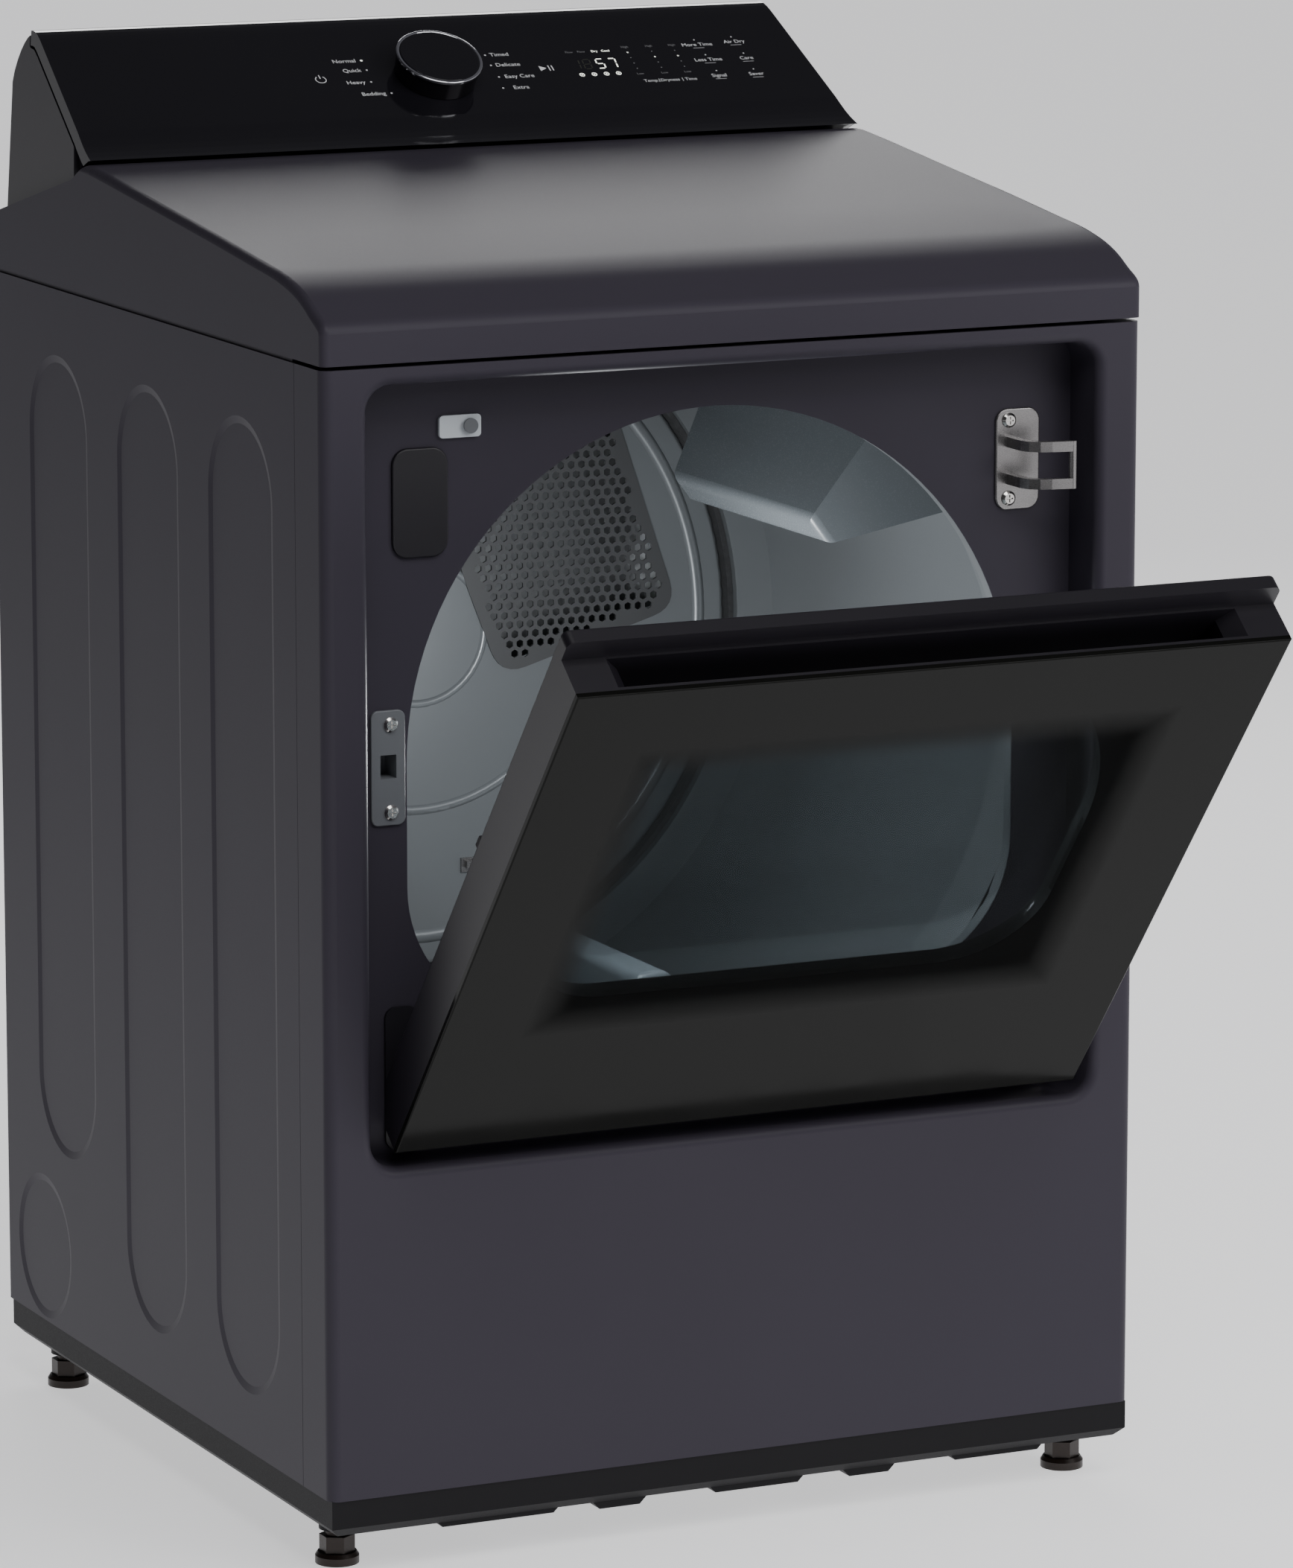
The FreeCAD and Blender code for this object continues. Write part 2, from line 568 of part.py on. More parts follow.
def build_rollers():
    axles = []
    fb = FRONT_BULK + INNER_SHEET
    rb = REAR_BULK
    for (x, z), side in zip(roller_spots(), ("left", "right")):
        for end, y0, wall in (("front", DRUM_FRONT + 4, fb), ("rear", DRUM_REAR - 28, rb)):
            y1 = y0 + 24
            wheel = join([rod(ROLLER_R, (x, y0, z), (x, y1, z))])
            wheel = wheel.cut(tube(ROLLER_R - 5, 14, (x, y0 - 1, z), (x, y0 + 8, z)))
            wheel = wheel.cut(tube(ROLLER_R - 5, 14, (x, y1 - 8, z), (x, y1 + 1, z)))
            wheel = wheel.cut(rod(AXLE_R + RUN_GAP, (x, y0 - 1, z), (x, y1 + 1, z)))
            keep("drum_roller_" + end + "_" + side, wheel)
            if end == "front":
                pin = join([rod(AXLE_R, (x, wall, z), (x, y1 + 6, z)), rod(11, (x, wall, z), (x, y0 - 0.4, z)),
                            rod(10, (x, y1 + 0.4, z), (x, y1 + 2.4, z))])
            else:
                pin = join([rod(AXLE_R, (x, y0 - 6, z), (x, wall, z)), rod(11, (x, y1 + 0.4, z), (x, wall, z)),
                            rod(10, (x, y0 - 2.4, z), (x, y0 - 0.4, z))])
            axles.append(pin)
    keep("roller_axles", Part.makeCompound(axles))


# ---- drive ----
def span(c0, r0, c1, r1, side):
    # common outer tangent of two circles, side +1 or -1
    dx = c1[0] - c0[0]
    dz = c1[1] - c0[1]
    d = math.hypot(dx, dz)
    base = math.atan2(dz, dx)
    off = math.acos((r0 - r1) / d)
    a = base + side * off
    n = (math.cos(a), math.sin(a))
    return (c0[0] + r0 * n[0], c0[1] + r0 * n[1]), (c1[0] + r1 * n[0], c1[1] + r1 * n[1]), n


def loop_face(c0, r0, c1, r1, y):
    p0, p1, n0 = span(c0, r0, c1, r1, 1)
    q0, q1, n1 = span(c0, r0, c1, r1, -1)
    dx = c1[0] - c0[0]
    dz = c1[1] - c0[1]
    d = math.hypot(dx, dz)
    far0 = (c0[0] - r0 * dx / d, c0[1] - r0 * dz / d)
    far1 = (c1[0] + r1 * dx / d, c1[1] + r1 * dz / d)

    def v(p):
        return V(p[0], y, p[1])
    w = Part.Wire([Part.Arc(v(p0), v(far0), v(q0)).toShape(), Part.makeLine(v(q0), v(q1)),
                   Part.Arc(v(q1), v(far1), v(p1)).toShape(), Part.makeLine(v(p1), v(p0))])
    return Part.Face(w)


def build_drive():
    c0 = (0.0, DRUM_Z)
    c1 = (MOTOR_X, MOTOR_Z)
    y0 = BELT_Y - BELT_W / 2
    a = DRUM_R + BELT_GAP
    b = PULLEY_R + BELT_GAP
    outer = loop_face(c0, a + BELT_T, c1, b + BELT_T, y0).extrude(V(0, BELT_W, 0))
    inner = loop_face(c0, a, c1, b, y0 - 1).extrude(V(0, BELT_W + 2, 0))
    keep("drum_belt", outer.cut(inner))

    x, z = MOTOR_X, MOTOR_Z
    m0 = 190.0
    m1 = BELT_Y - BELT_W / 2 - 9
    can = rod(MOTOR_R, (x, m0, z), (x, m1, z)).cut(rod(MOTOR_R - 4, (x, m0 + 5, z), (x, m1 - 5, z)))
    can = join([can, rod(16, (x, m0, z), (x, m0 + 20, z)), rod(16, (x, m1 - 20, z), (x, m1, z))])
    can = can.cut(rod(SHAFT_R + RUN_GAP, (x, m0 - 1, z), (x, m1 + 1, z)))
    keep("motor_housing", can)
    low = BASE_BOTTOM + 5
    cradle = []
    for y in (m0 + 25, m1 - 45):
        leg = box(x - 45, x + 45, y, y + 20, low + 2, z - 30).cut(rod(MOTOR_R, (x, y - 1, z), (x, y + 21, z)))
        cradle.append(leg)
    cradle.append(box(x - 60, x + 60, m0 + 15, m1 - 15, low, low + 3))
    keep("motor_bracket", join(cradle))
    shaft = [rod(SHAFT_R, (x, DRUM_FRONT + 6, z), (x, BELT_Y + 18, z)),
             rod(10, (x, m1 + 0.4, z), (x, y0 - 3, z)),
             rod(10, (x, m0 - 3, z), (x, m0 - 0.4, z)),
             rod(PULLEY_R, (x, y0 - 3, z), (x, y0 + BELT_W + 3, z)),
             rod(PULLEY_R + 5, (x, y0 - 3, z), (x, y0 - 1, z)),
             rod(PULLEY_R + 5, (x, y0 + BELT_W + 1, z), (x, y0 + BELT_W + 3, z))]
    keep("motor_shaft", join(shaft))

    f0 = DRUM_FRONT
    wheel = [rod(68, (x, f0 + 46, z), (x, f0 + 49, z)), tube(70, 66, (x, f0 + 10, z), (x, f0 + 14, z)),
             rod(14, (x, f0 + 20, z), (x, f0 + 49, z))]
    for i in range(18):
        blade = box(x + 54, x + 69, f0 + 11, f0 + 47, z - 1, z + 1)
        blade.rotate(V(x, f0, z), V(0, 1, 0), 20 * i)
        wheel.append(blade)
    wheel = join(wheel).cut(rod(SHAFT_R, (x, f0, z), (x, f0 + 60, z)))
    keep("blower_wheel", wheel)
    h0 = f0 - 8
    h1 = f0 + 62
    side = DUCT_X + DUCT_R + 6
    body = join([rod(82, (x, h0, z), (x, h1, z)), box(x, side, h0, h1, DUCT_Z - DUCT_R - 2, z + 20),
                 box(x - 20, x + 20, h0 + 10, h1 - 10, low, z - 60)])
    hollow = join([rod(79, (x, h0 + 3, z), (x, h1 - 3, z)),
                   box(x + 20, side - 3, h0 + 3, h1 - 3, DUCT_Z - DUCT_R + 1, z + 17)])
    body = body.cut(hollow)
    body = body.cut(rod(45, (x, h0 - 1, z), (x, h0 + 4, z))).cut(rod(SHAFT_R + 4.5, (x, h1 - 5, z), (x, h1 + 1, z)))
    body = body.cut(rod(DUCT_R - 5, (DUCT_X, h1 - 5, DUCT_Z), (DUCT_X, h1 + 1, DUCT_Z)))
    keep("blower_housing", body)
    duct = tube(DUCT_R, DUCT_R - 1.2, (DUCT_X, h1, DUCT_Z), (DUCT_X, DEPTH + 33, DUCT_Z))
    duct = join([duct, tube(DUCT_R + 8, DUCT_R - 1.2, (DUCT_X, DEPTH, DUCT_Z), (DUCT_X, DEPTH + 1.5, DUCT_Z)),
                 tube(DUCT_R + 3, DUCT_R - 1.2, (DUCT_X, REAR_BULK - 30, DUCT_Z), (DUCT_X, REAR_BULK - 18, DUCT_Z)),
                 box(DUCT_X - 20, DUCT_X + 20, REAR_BULK - 26, REAR_BULK - 22, low, DUCT_Z - DUCT_R)])
    nodes["rear_bulkhead"] = nodes["rear_bulkhead"].cut(
        rod(DUCT_R + 2, (DUCT_X, REAR_BULK - 5, DUCT_Z), (DUCT_X, REAR_BULK + 5, DUCT_Z)))
    keep("exhaust_duct", duct)

    # idler outside the slack span of the belt
    p0, p1, n = span(c0, a + BELT_T, c1, b + BELT_T, -1)
    if n[0] > 0:
        p0, p1, n = span(c0, a + BELT_T, c1, b + BELT_T, 1)
    r = 22.0
    f = 0.62
    ix = p0[0] + (p1[0] - p0[0]) * f + n[0] * (r + BELT_GAP)
    iz = p0[1] + (p1[1] - p0[1]) * f + n[1] * (r + BELT_GAP)
    pulley = join([rod(r, (ix, y0 - 1, iz), (ix, y0 + BELT_W + 1, iz))])
    pulley = pulley.cut(rod(5 + RUN_GAP, (ix, y0 - 5, iz), (ix, y0 + BELT_W + 5, iz)))
    keep("idler_pulley", pulley)
    arm = join([box(ix - 12, ix + 12, y0 + BELT_W + 4, y0 + BELT_W + 8, low, iz + 12),
                rod(5, (ix, y0 - 4, iz), (ix, y0 + BELT_W + 8, iz)),
                rod(8, (ix, y0 + BELT_W + 1.4, iz), (ix, y0 + BELT_W + 5, iz)),
                rod(8, (ix, y0 - 4, iz), (ix, y0 - 1.4, iz)),
                box(ix - 18, ix + 18, y0 + BELT_W - 10, y0 + BELT_W + 8, low, low + 4)])
    keep("idler_arm", arm)


# ---- air path ----
def build_air():
    w = duct_half()
    y0 = FRONT_BULK + 4
    y1 = y0 + 34
    mid = MOTOR_Z + 50
    outer = join([box(-w, w, y0, y1, mid, OPEN_LOW - 14), box(MOTOR_X - 62, w, y0, y1, MOTOR_Z - 62, mid + 12),
                  tube(56, 46, (MOTOR_X, y1 - 1, MOTOR_Z), (MOTOR_X, DRUM_FRONT - 8, MOTOR_Z)),
                  box(-w - 4, w + 4, y0 - 2.5, y1 + 2, OPEN_LOW - 20, OPEN_LOW - 14),
                  box(-40, 40, y0 - 2.5, y0 + 1, BASE_BOTTOM + 5, mid),
                  box(-40, 40, y0, y0 + 20, BASE_BOTTOM + 5, BASE_BOTTOM + 8)])
    hollow = join([box(-w + 2.5, w - 2.5, y0 + 2.5, y1 - 2.5, mid - 2, OPEN_LOW + 1),
                   box(MOTOR_X - 59.5, w - 2.5, y0 + 2.5, y1 - 2.5, MOTOR_Z - 59.5, mid + 9.5),
                   rod(46, (MOTOR_X, y1 - 5, MOTOR_Z), (MOTOR_X, y1 + 5, MOTOR_Z))])
    keep("lint_duct", outer.cut(hollow))
    g = 0.6
    frame = box(-w + 2.5 + g, w - 2.5 - g, y0 + 7, y1 - 7, mid + 30, OPEN_LOW - 13.7)
    frame = frame.cut(box(-w + 10, w - 10, y0 + 6, y1 - 12, mid + 40, OPEN_LOW - 30))
    windows = []
    for i in range(9):
        for j in range(6):
            x = -w + 12 + i * 22
            z = mid + 42 + j * 22
            windows.append(box(x, x + 16, y1 - 14, y1 - 6, z, z + 16))
    frame = frame.cut(Part.makeCompound(windows))
    frame = join([frame, box(-w - 3, w + 3, y0 + 0.5, y1 + 0.5, OPEN_LOW - 13.7, OPEN_LOW - 9)])
    hold = box(-28, 28, y0 + 10, y0 + 24, OPEN_LOW - 11, OPEN_LOW - 8)
    keep("lint_filter", frame.cut(hold))

    rb = REAR_BULK + INNER_SHEET
    x0, x1 = 60.0, 240.0
    z0, z1 = DRUM_Z - 362, DRUM_Z + 148
    shell = box(x0, x1, rb, DEPTH - 6, z0, z1).cut(box(x0 + 1.2, x1 - 1.2, rb - 1, DEPTH - 7.2, z0 + 30, z1 - 1.2))
    shell = shell.cut(box(x0 + 20, x1 - 20, rb + 4, DEPTH - 10, z0 - 1, z0 + 31))
    keep("heater_box", shell)
    coils = []
    for k in (0, 1):
        z = z0 + 60 + 150 * k
        coils.append(box(x0 + 1.2, x1 - 1.2, rb + 14, rb + 18, z, z + 10))
    for i in range(7):
        x = x0 + 24 + i * 22
        coils.append(rod(4, (x, rb + 16, z0 + 45), (x, rb + 16, z0 + 235)))
    keep("heater_coils", join(coils))


# ---- console ----
def fascia_curve():
    k = math.tan(math.radians(FASCIA_SLOPE))
    flat = [(y, FASCIA_Z + (y - FASCIA_Y) * k) for y in (512.0, 538.0, 563.0, 588.0, 607.0, 613.0)]
    return ([(477, 1034), (482, 1035.9), (489, 1039), (496, 1042.8), (504, 1047.9)] + flat
            + [(618, 1117.9), (623, 1120.4), (628, 1122.2), (634, 1123), (640, 1122.8)])


def build_console():
    curve = fascia_curve()
    back = shift_normal(curve, 12)
    skin = shift_normal(curve, 3)
    deep = shift_normal(curve, 16)
    tail = (640.0, 1110.8)
    nose = (482.0, 1033.2)
    body = taper(curve + [tail] + [p for p in reversed(back) if 492 < p[0] < 636] + [nose], 0)
    inner = [p for p in skin if 496 < p[0] < 632]
    deep = [p for p in deep if 500 < p[0] < 640]
    body = body.cut(taper(inner + list(reversed(deep)), 3))
    shaft = rod(3 + RUN_GAP, (KNOB_X, KNOB_UP, -20), (KNOB_X, KNOB_UP, 5))
    body = body.cut(from_fascia(shaft))
    boss = rod(7, (KNOB_X, KNOB_UP, -8), (KNOB_X, KNOB_UP, -2)).cut(shaft)
    body = join([body, from_fascia(boss)])
    keep("console_fascia", body)

    ridge = shift_normal(curve, 12.0)
    ridge = [p for p in ridge if 508 < p[0] < 636]
    gap = shift_normal(curve, 14.5)
    gap = [p for p in gap if 512 < p[0] < 634]
    cz = COVER_Z
    slope = 43.5 / 176.0

    def cover_z(y):
        return cz + 88.5 - slope * (y - 507)
    top = [(640, 1108.9), (642.5, 1110.5), (642.5, 1118.6), (648, 1116.5), (656, 1111.5), (664, 1105.0), (672, 1096.5), (679, 1087.0), (683, 1078.0)]
    shell = taper(gap + top + [(683, cover_z(683)), (516, cover_z(516))], 0)
    step = taper(ridge + [(640, 1110.8), (644, 1112), (647, 1109), (655, 1100), (530, cover_z(530) + 14), (514, cover_z(514) + 3)], 5)
    hollow = [(526, cover_z(526) - 2), (526, 1052), (608, 1103), (636, 1106), (656, 1103), (668, 1093), (680, 1075),
              (680, cover_z(680) - 2)]
    body = join([shell, step]).cut(taper(hollow, 8))
    body = body.cut(slab_yz([(500, cover_z(500) - 30), (500, cover_z(500)), (690, cover_z(690)),
                             (690, cover_z(690) - 30)], -HALF, HALF))
    keep("console_housing", body)

    board = [box(-120, 230, -22, 22, -11, -9.4)]
    for x in (-114, 60, 224):
        for y in (-18, 18):
            board.append(rod(3, (x, y, -10), (x, y, -3)))
    board.append(box(128, 166, -12, 12, -9.6, -4))
    board = join(board).cut(rod(10, (KNOB_X, KNOB_UP, -20), (KNOB_X, KNOB_UP, -4)))
    keep("control_board", from_fascia(board))

    h = KNOB_H
    k = (KNOB_X, KNOB_UP)
    body = join([cone(KNOB_R - 2.5, KNOB_R - 1, (k[0], k[1], 0.5), (k[0], k[1], h - 3)),
                 rod(3, (k[0], k[1], -15), (k[0], k[1], 2)), rod(4.5, (k[0], k[1], -10.4), (k[0], k[1], -8.3))])
    body = body.cut(rod(KNOB_R - 3, (k[0], k[1], h - 5), (k[0], k[1], h)))
    keep("knob_body", from_fascia(body))
    ring = tube(KNOB_R, KNOB_R - 3, (k[0], k[1], h - 3), (k[0], k[1], h - 0.5))
    ring = ring.makeFillet(1.2, [e for e in ring.Edges if e.BoundBox.ZMin > h - 0.6])
    keep("knob_ring", from_fascia(ring))
    cap = rod(KNOB_R - 3, (k[0], k[1], h - 5), (k[0], k[1], h - 0.4))
    cap = cap.makeFillet(0.8, [e for e in cap.Edges if e.BoundBox.ZMin > h - 0.5])
    keep("knob_cap", from_fascia(cap))


# ---- fittings on the recess floor ----
def pan_head(x, y, z):
    head = join([rod(5.8, (x, y, z), (x, y - 1.0, z)), cone(5.8, 4.0, (x, y - 1.0, z), (x, y - 2.6, z))])
    slot = join([box(x - 3.0, x + 3.0, y - 4, y - 1.2, z - 0.6, z + 0.6),
                 box(x - 0.6, x + 0.6, y - 4, y - 1.2, z - 3.0, z + 3.0)])
    return head.cut(slot)


def build_fittings():
    f = FLOOR
    lx = -RECESS
    sx = lx + 100.5
    plate = round_box(lx + 76, lx + 110, f - 3, f, 863, 880, 3)
    guide = rod(9, (sx, f + SHEET, 871.7), (sx, f + 12, 871.7))
    guide = join([guide, rod(4, (sx, f - 1, 871.7), (sx, f + SHEET + 1, 871.7))])
    plate = join([plate, guide]).cut(rod(3.05, (sx, f - 4, 871.7), (sx, f + 20, 871.7)))
    keep("switch_plate", plate)
    plunger = join([rod(5.75, (sx, f - 5.6, 871.7), (sx, f - 5.05, 871.7)), rod(3, (sx, f - 5.2, 871.7), (sx, f + 9, 871.7))])
    plunger = join([rod(5.75, (sx, f - 6.5, 871.7), (sx, f - 5.05, 871.7)), plunger])
    keep("switch_plunger", plunger)
    cap = round_box(lx + 37.5, lx + 83, f - 3, f, 774, 857, 13)
    cap = cap.makeFillet(1.5, [e for e in cap.Edges if e.BoundBox.YMax < f - 2.9])
    keep("blind_cap", cap)

    plate = round_box(lx + 19, lx + 47, f - 2.5, f, 572, 660, 6)
    plate = plate.makeFillet(1.0, [e for e in plate.Edges if e.BoundBox.YMax < f - 2.4])
    cx = lx + 33
    house = box(cx - 17, cx + 13, f + SHEET, f + 24, 601, 633)
    plate = join([plate, house, box(cx - 7.5, cx + 7.5, f - 1, f + SHEET + 1, 607, 627)])
    plate = plate.cut(box(cx - 6.5, cx + 6.5, f - 5, f + 20, 608, 626))
    plate = plate.cut(box(cx - 14, cx - 6, f + 4, f + 14, 612, 622))
    for x, z in screw_spots()[:2]:
        plate = plate.cut(rod(2, (x, f - 5, z), (x, f + 1, z)))
    keep("latch_plate", plate)
    catch = box(cx - 9.9, cx - 5.4, f + 4.1, f + 13.9, 612.1, 621.9)
    catch = catch.makeChamfer(1.0, [e for e in catch.Edges if e.BoundBox.XMin > cx - 5.5 and e.BoundBox.ZLength > 5])
    keep("latch_catch", catch)

    hx = RECESS
    plate = round_box(hx - 66, hx - 28, f - 2.5, f, 778, 857, 10)
    plate = plate.makeFillet(1.2, [e for e in plate.Edges if e.BoundBox.YMax < f - 2.4])
    ax = hx - 56.5
    px, py = SWING_X, SWING_Y
    arms = []
    for z in (798.0, 827.0):
        path = [(ax, f - 1), (ax, 22), (ax + 3, 13), (ax + 10, 7), (ax + 19, 4.5), (px, py - 3), (px, py + 3),
                (ax + 22, 10), (ax + 13, 13), (ax + 9, 18), (ax + 7, 24), (ax + 7, f - 1)]
        arms.append(slab_xy(path, z, z + 8))
    loop = join([plate, rod(3, (px, py, 798), (px, py, 835))] + arms)
    for x, z in screw_spots()[2:]:
        loop = loop.cut(rod(2, (x, f - 5, z), (x, f + 1, z)))
    keep("hinge_loop", loop)

    screws = []
    for x, z in screw_spots():
        t = 2.5
        screws.append(join([pan_head(x, f - t, z), rod(2, (x, f - t - 0.5, z), (x, f + 6, z))]))
    keep("plate_screws", Part.makeCompound(screws))

    # lower right bracket with two ears, lower left open cradle
    py0, pz0 = PIVOT_Y, PIVOT_Z
    plate = box(px - 40, px - 2, f - 3, f, RECESS_LOW + 4, RECESS_LOW + 74)
    up = plate.makeFillet(6, [e for e in plate.Edges if e.BoundBox.YLength > 2 and e.BoundBox.ZMin > RECESS_LOW + 70])
    ears = []
    for z0 in (pz0 - 8.5, pz0 + 5.3):
        ears.append(join([box(px - 6, px + 6, SWING_Y, f - 1, z0, z0 + 3.2), rod(6, (px, SWING_Y, z0), (px, SWING_Y, z0 + 3.2))]))
    web = box(px - 12, px + 6, f - 3, f, pz0 - 8.5, pz0 + 8.5)
    pin = rod(PIN_R, (px, SWING_Y, pz0 - 8.5), (px, SWING_Y, pz0 + 8.5))
    keep("lower_hinge_bracket", join([up, web, pin] + ears))
    knuckle = join([rod(6, (px, SWING_Y, pz0 - 5), (px, SWING_Y, pz0 + 5)),
                    box(px - 28, px, py0 - 6, py0 + 6, pz0 - 5, pz0 + 5)])
    knuckle = knuckle.cut(rod(PIN_R + RUN_GAP, (px, SWING_Y, pz0 - 6), (px, SWING_Y, pz0 + 6)))
    knuckle = knuckle.cut(rod(PIN_R + RUN_GAP, (px - 29, py0, pz0), (px - 10, py0, pz0)))
    keep("hinge_knuckle", knuckle)

    plate = round_box(lx + 29, lx + 57, f - 3, f, RECESS_LOW + 4, RECESS_LOW + 114, 9)
    a0 = lx + 30
    arm = box(a0, a0 + 18, py0 - 4, f - 1, pz0 - 6.5, pz0 + 6.5)
    slot = join([box(a0 - 1, a0 + 19, py0 - 9, py0, pz0 - 3.3, pz0 + 3.3), rod(3.3, (a0 - 1, py0, pz0), (a0 + 19, py0, pz0))])
    keep("lower_left_cradle", join([plate, arm]).cut(slot))


# ---- door, drawn closed and then tilted open ----
def d_box(x0, x1, t0, t1, s0, s1):
    return box(x0, x1, DOOR_Y + t0, DOOR_Y + t1, DOOR_Z + s0, DOOR_Z + s1)


def d_round(x0, x1, t0, t1, s0, s1, r):
    return round_box(x0, x1, DOOR_Y + t0, DOOR_Y + t1, DOOR_Z + s0, DOOR_Z + s1, r)


def d_prism(pts, x0, x1):
    return slab_yz([(DOOR_Y + t, DOOR_Z + s) for t, s in pts], x0, x1)


def window_wire(t, shrink):
    y = DOOR_Y + t
    h = OPEN_HALF - 42 - shrink
    top = OPEN_ARC_Z + h
    low = OPEN_LOW + 42 + shrink
    r = OPEN_CORNER - 30 - shrink * 0.5
    k = math.sqrt(0.5)
    zc = OPEN_ARC_Z
    pts = [V(-h, y, zc), V(0, y, top), V(h, y, zc), V(h, y, low + r), V(h - r + r * k, y, low + r - r * k),
           V(h - r, y, low), V(-h + r, y, low), V(-h + r - r * k, y, low + r - r * k), V(-h, y, low + r)]
    return Part.Wire([Part.Arc(pts[0], pts[1], pts[2]).toShape(), Part.makeLine(pts[2], pts[3]),
                      Part.Arc(pts[3], pts[4], pts[5]).toShape(), Part.makeLine(pts[5], pts[6]),
                      Part.Arc(pts[6], pts[7], pts[8]).toShape(), Part.makeLine(pts[8], pts[0])])


def window(shrink, t0, t1):
    return Part.Face(window_wire(t0, shrink)).extrude(V(0, t1 - t0, 0))


def place_door(name, shape):
    s = shape.copy()
    s.rotate(V(0, PIVOT_Y, PIVOT_Z), V(1, 0, 0), TILT_OPEN)
    keep(name, s)


def build_door():
    g = GLASS_T
    ft = FRAME_T
    glass = d_box(-DOOR, DOOR, 0, g, 0, DOOR_H)
    glass = glass.makeFillet(1.2, [e for e in glass.Edges if e.BoundBox.YMax < DOOR_Y + 0.1])
    place_door("door_glass", glass)

    left = -DOOR + 5
    right = DOOR + 1
    bevel = d_prism([(25, -1), (25, 0), (DOOR_T, 33), (DOOR_T + 2, 33), (DOOR_T + 2, -1)], -DOOR - 5, DOOR + 5)
    low_right = d_box(DOOR - 39, right, g + 0.1, DOOR_T + 1, -1, 22)
    low_left = d_box(left, -DOOR + 39, g + 0.1, DOOR_T + 1, -1, 22)
    loop_low = 450.0
    loop_pocket = d_box(DOOR - 43, right, 10, DOOR_T + 1, loop_low, loop_low + 58)
    chan = DOOR - 46.0
    channel = d_box(-chan, chan, g + 2.5, ft - 2, DOOR_H - 48, DOOR_H + 1)
    facet = [(-chan - 12, 1.0), (chan + 12, 1.0), (chan + 12, 0.0), (chan, -12.0), (-chan, -12.0), (-chan - 12, 0.0)]
    wide = slab_xz([(x, DOOR_Z + DOOR_H + z) for x, z in facet], DOOR_Y + g + 2.5, DOOR_Y + ft - 2)
    frame = d_box(-DOOR, DOOR, g, ft, 0, DOOR_H)
    cavity = join([d_box(-DOOR + 6, DOOR - 6, g - 1, ft + 1, 26, 440),
                   d_box(-DOOR + 49, DOOR - 49, g - 1, ft + 1, 430, DOOR_H - 52)])
    frame = frame.cut(cavity)
    for c in (bevel, low_right, low_left, loop_pocket, channel, wide):
        frame = frame.cut(c)
    seats = []
    for x in (-54.0, 56.0):
        y = DOOR_Y + g + 2.5
        z = DOOR_Z + DOOR_H - 8
        head = cone(4.2, 3.2, (x, y, z), (x, y + 2.0, z))
        cross = join([box(x - 2.2, x + 2.2, y + 1.0, y + 3, z - 0.45, z + 0.45),
                      box(x - 0.45, x + 0.45, y + 1.0, y + 3, z - 2.2, z + 2.2)])
        seats.append(head.cut(cross))
    py, pz = PIVOT_Y, PIVOT_Z
    pins = [rod(PIN_R, (DOOR - 45, py, pz), (DOOR - 14, py, pz)), rod(PIN_R, (-DOOR + 2, py, pz), (-DOOR + 42, py, pz))]
    frame = join([frame] + pins)
    place_door("door_frame", frame)
    place_door("handle_screws", Part.makeCompound(seats))

    panel = d_box(-DOOR, DOOR, ft, DOOR_T, 0, DOOR_LIP_H)
    panel = panel.makeFillet(6, [e for e in panel.Edges if e.BoundBox.ZMin > DOOR_Z + DOOR_LIP_H - 1
                                 and e.BoundBox.YLength > 5])
    panel = panel.makeFillet(2, [e for e in panel.Edges if e.BoundBox.YMin > DOOR_Y + DOOR_T - 0.1])
    panel = panel.cut(window(0, ft - 1, DOOR_T + 1))
    room = d_box(-DOOR + 6, DOOR - 6, ft - 1, DOOR_T - 3, 40, 440).cut(window(-18, ft - 2, DOOR_T))
    panel = panel.cut(room)
    for c in (bevel, low_right, low_left, loop_pocket):
        panel = panel.cut(c)
    place_door("door_inner_panel", panel)

    bowl = Part.makeLoft([window_wire(DOOR_T - 9, 0.5), window_wire(DOOR_T + 3, 1.5), window_wire(DOOR_T + 15, 14)], True)
    scoop = Part.makeLoft([window_wire(DOOR_T - 13.1, 8), window_wire(DOOR_T, 8.5), window_wire(DOOR_T + 11.5, 18)], True)
    flange = window(0, ft, ft + 5).cut(window(8, ft - 1, ft + 6))
    bowl = join([bowl, flange]).cut(scoop)
    place_door("door_window", bowl)

    seal = window(-19, DOOR_T, DOOR_T + 5.5).cut(window(-12, DOOR_T - 1, DOOR_T + 7))
    edge = [e for e in seal.Edges if e.BoundBox.YMin > DOOR_Y + DOOR_T + 5.4]
    seal = seal.makeFillet(1.5, edge)
    place_door("door_seal", seal)

    sx = -DOOR + 18
    strike = join([d_box(sx - 3, sx + 3, DOOR_T, DOOR_T + 25, 272, 282), d_box(sx - 5, sx + 2.4, DOOR_T, DOOR_T + 2, 262, 292)])
    tip = [e for e in strike.Edges if e.BoundBox.YMin > DOOR_Y + DOOR_T + 24.9]
    strike = strike.makeChamfer(1.5, tip)
    place_door("door_strike", strike)


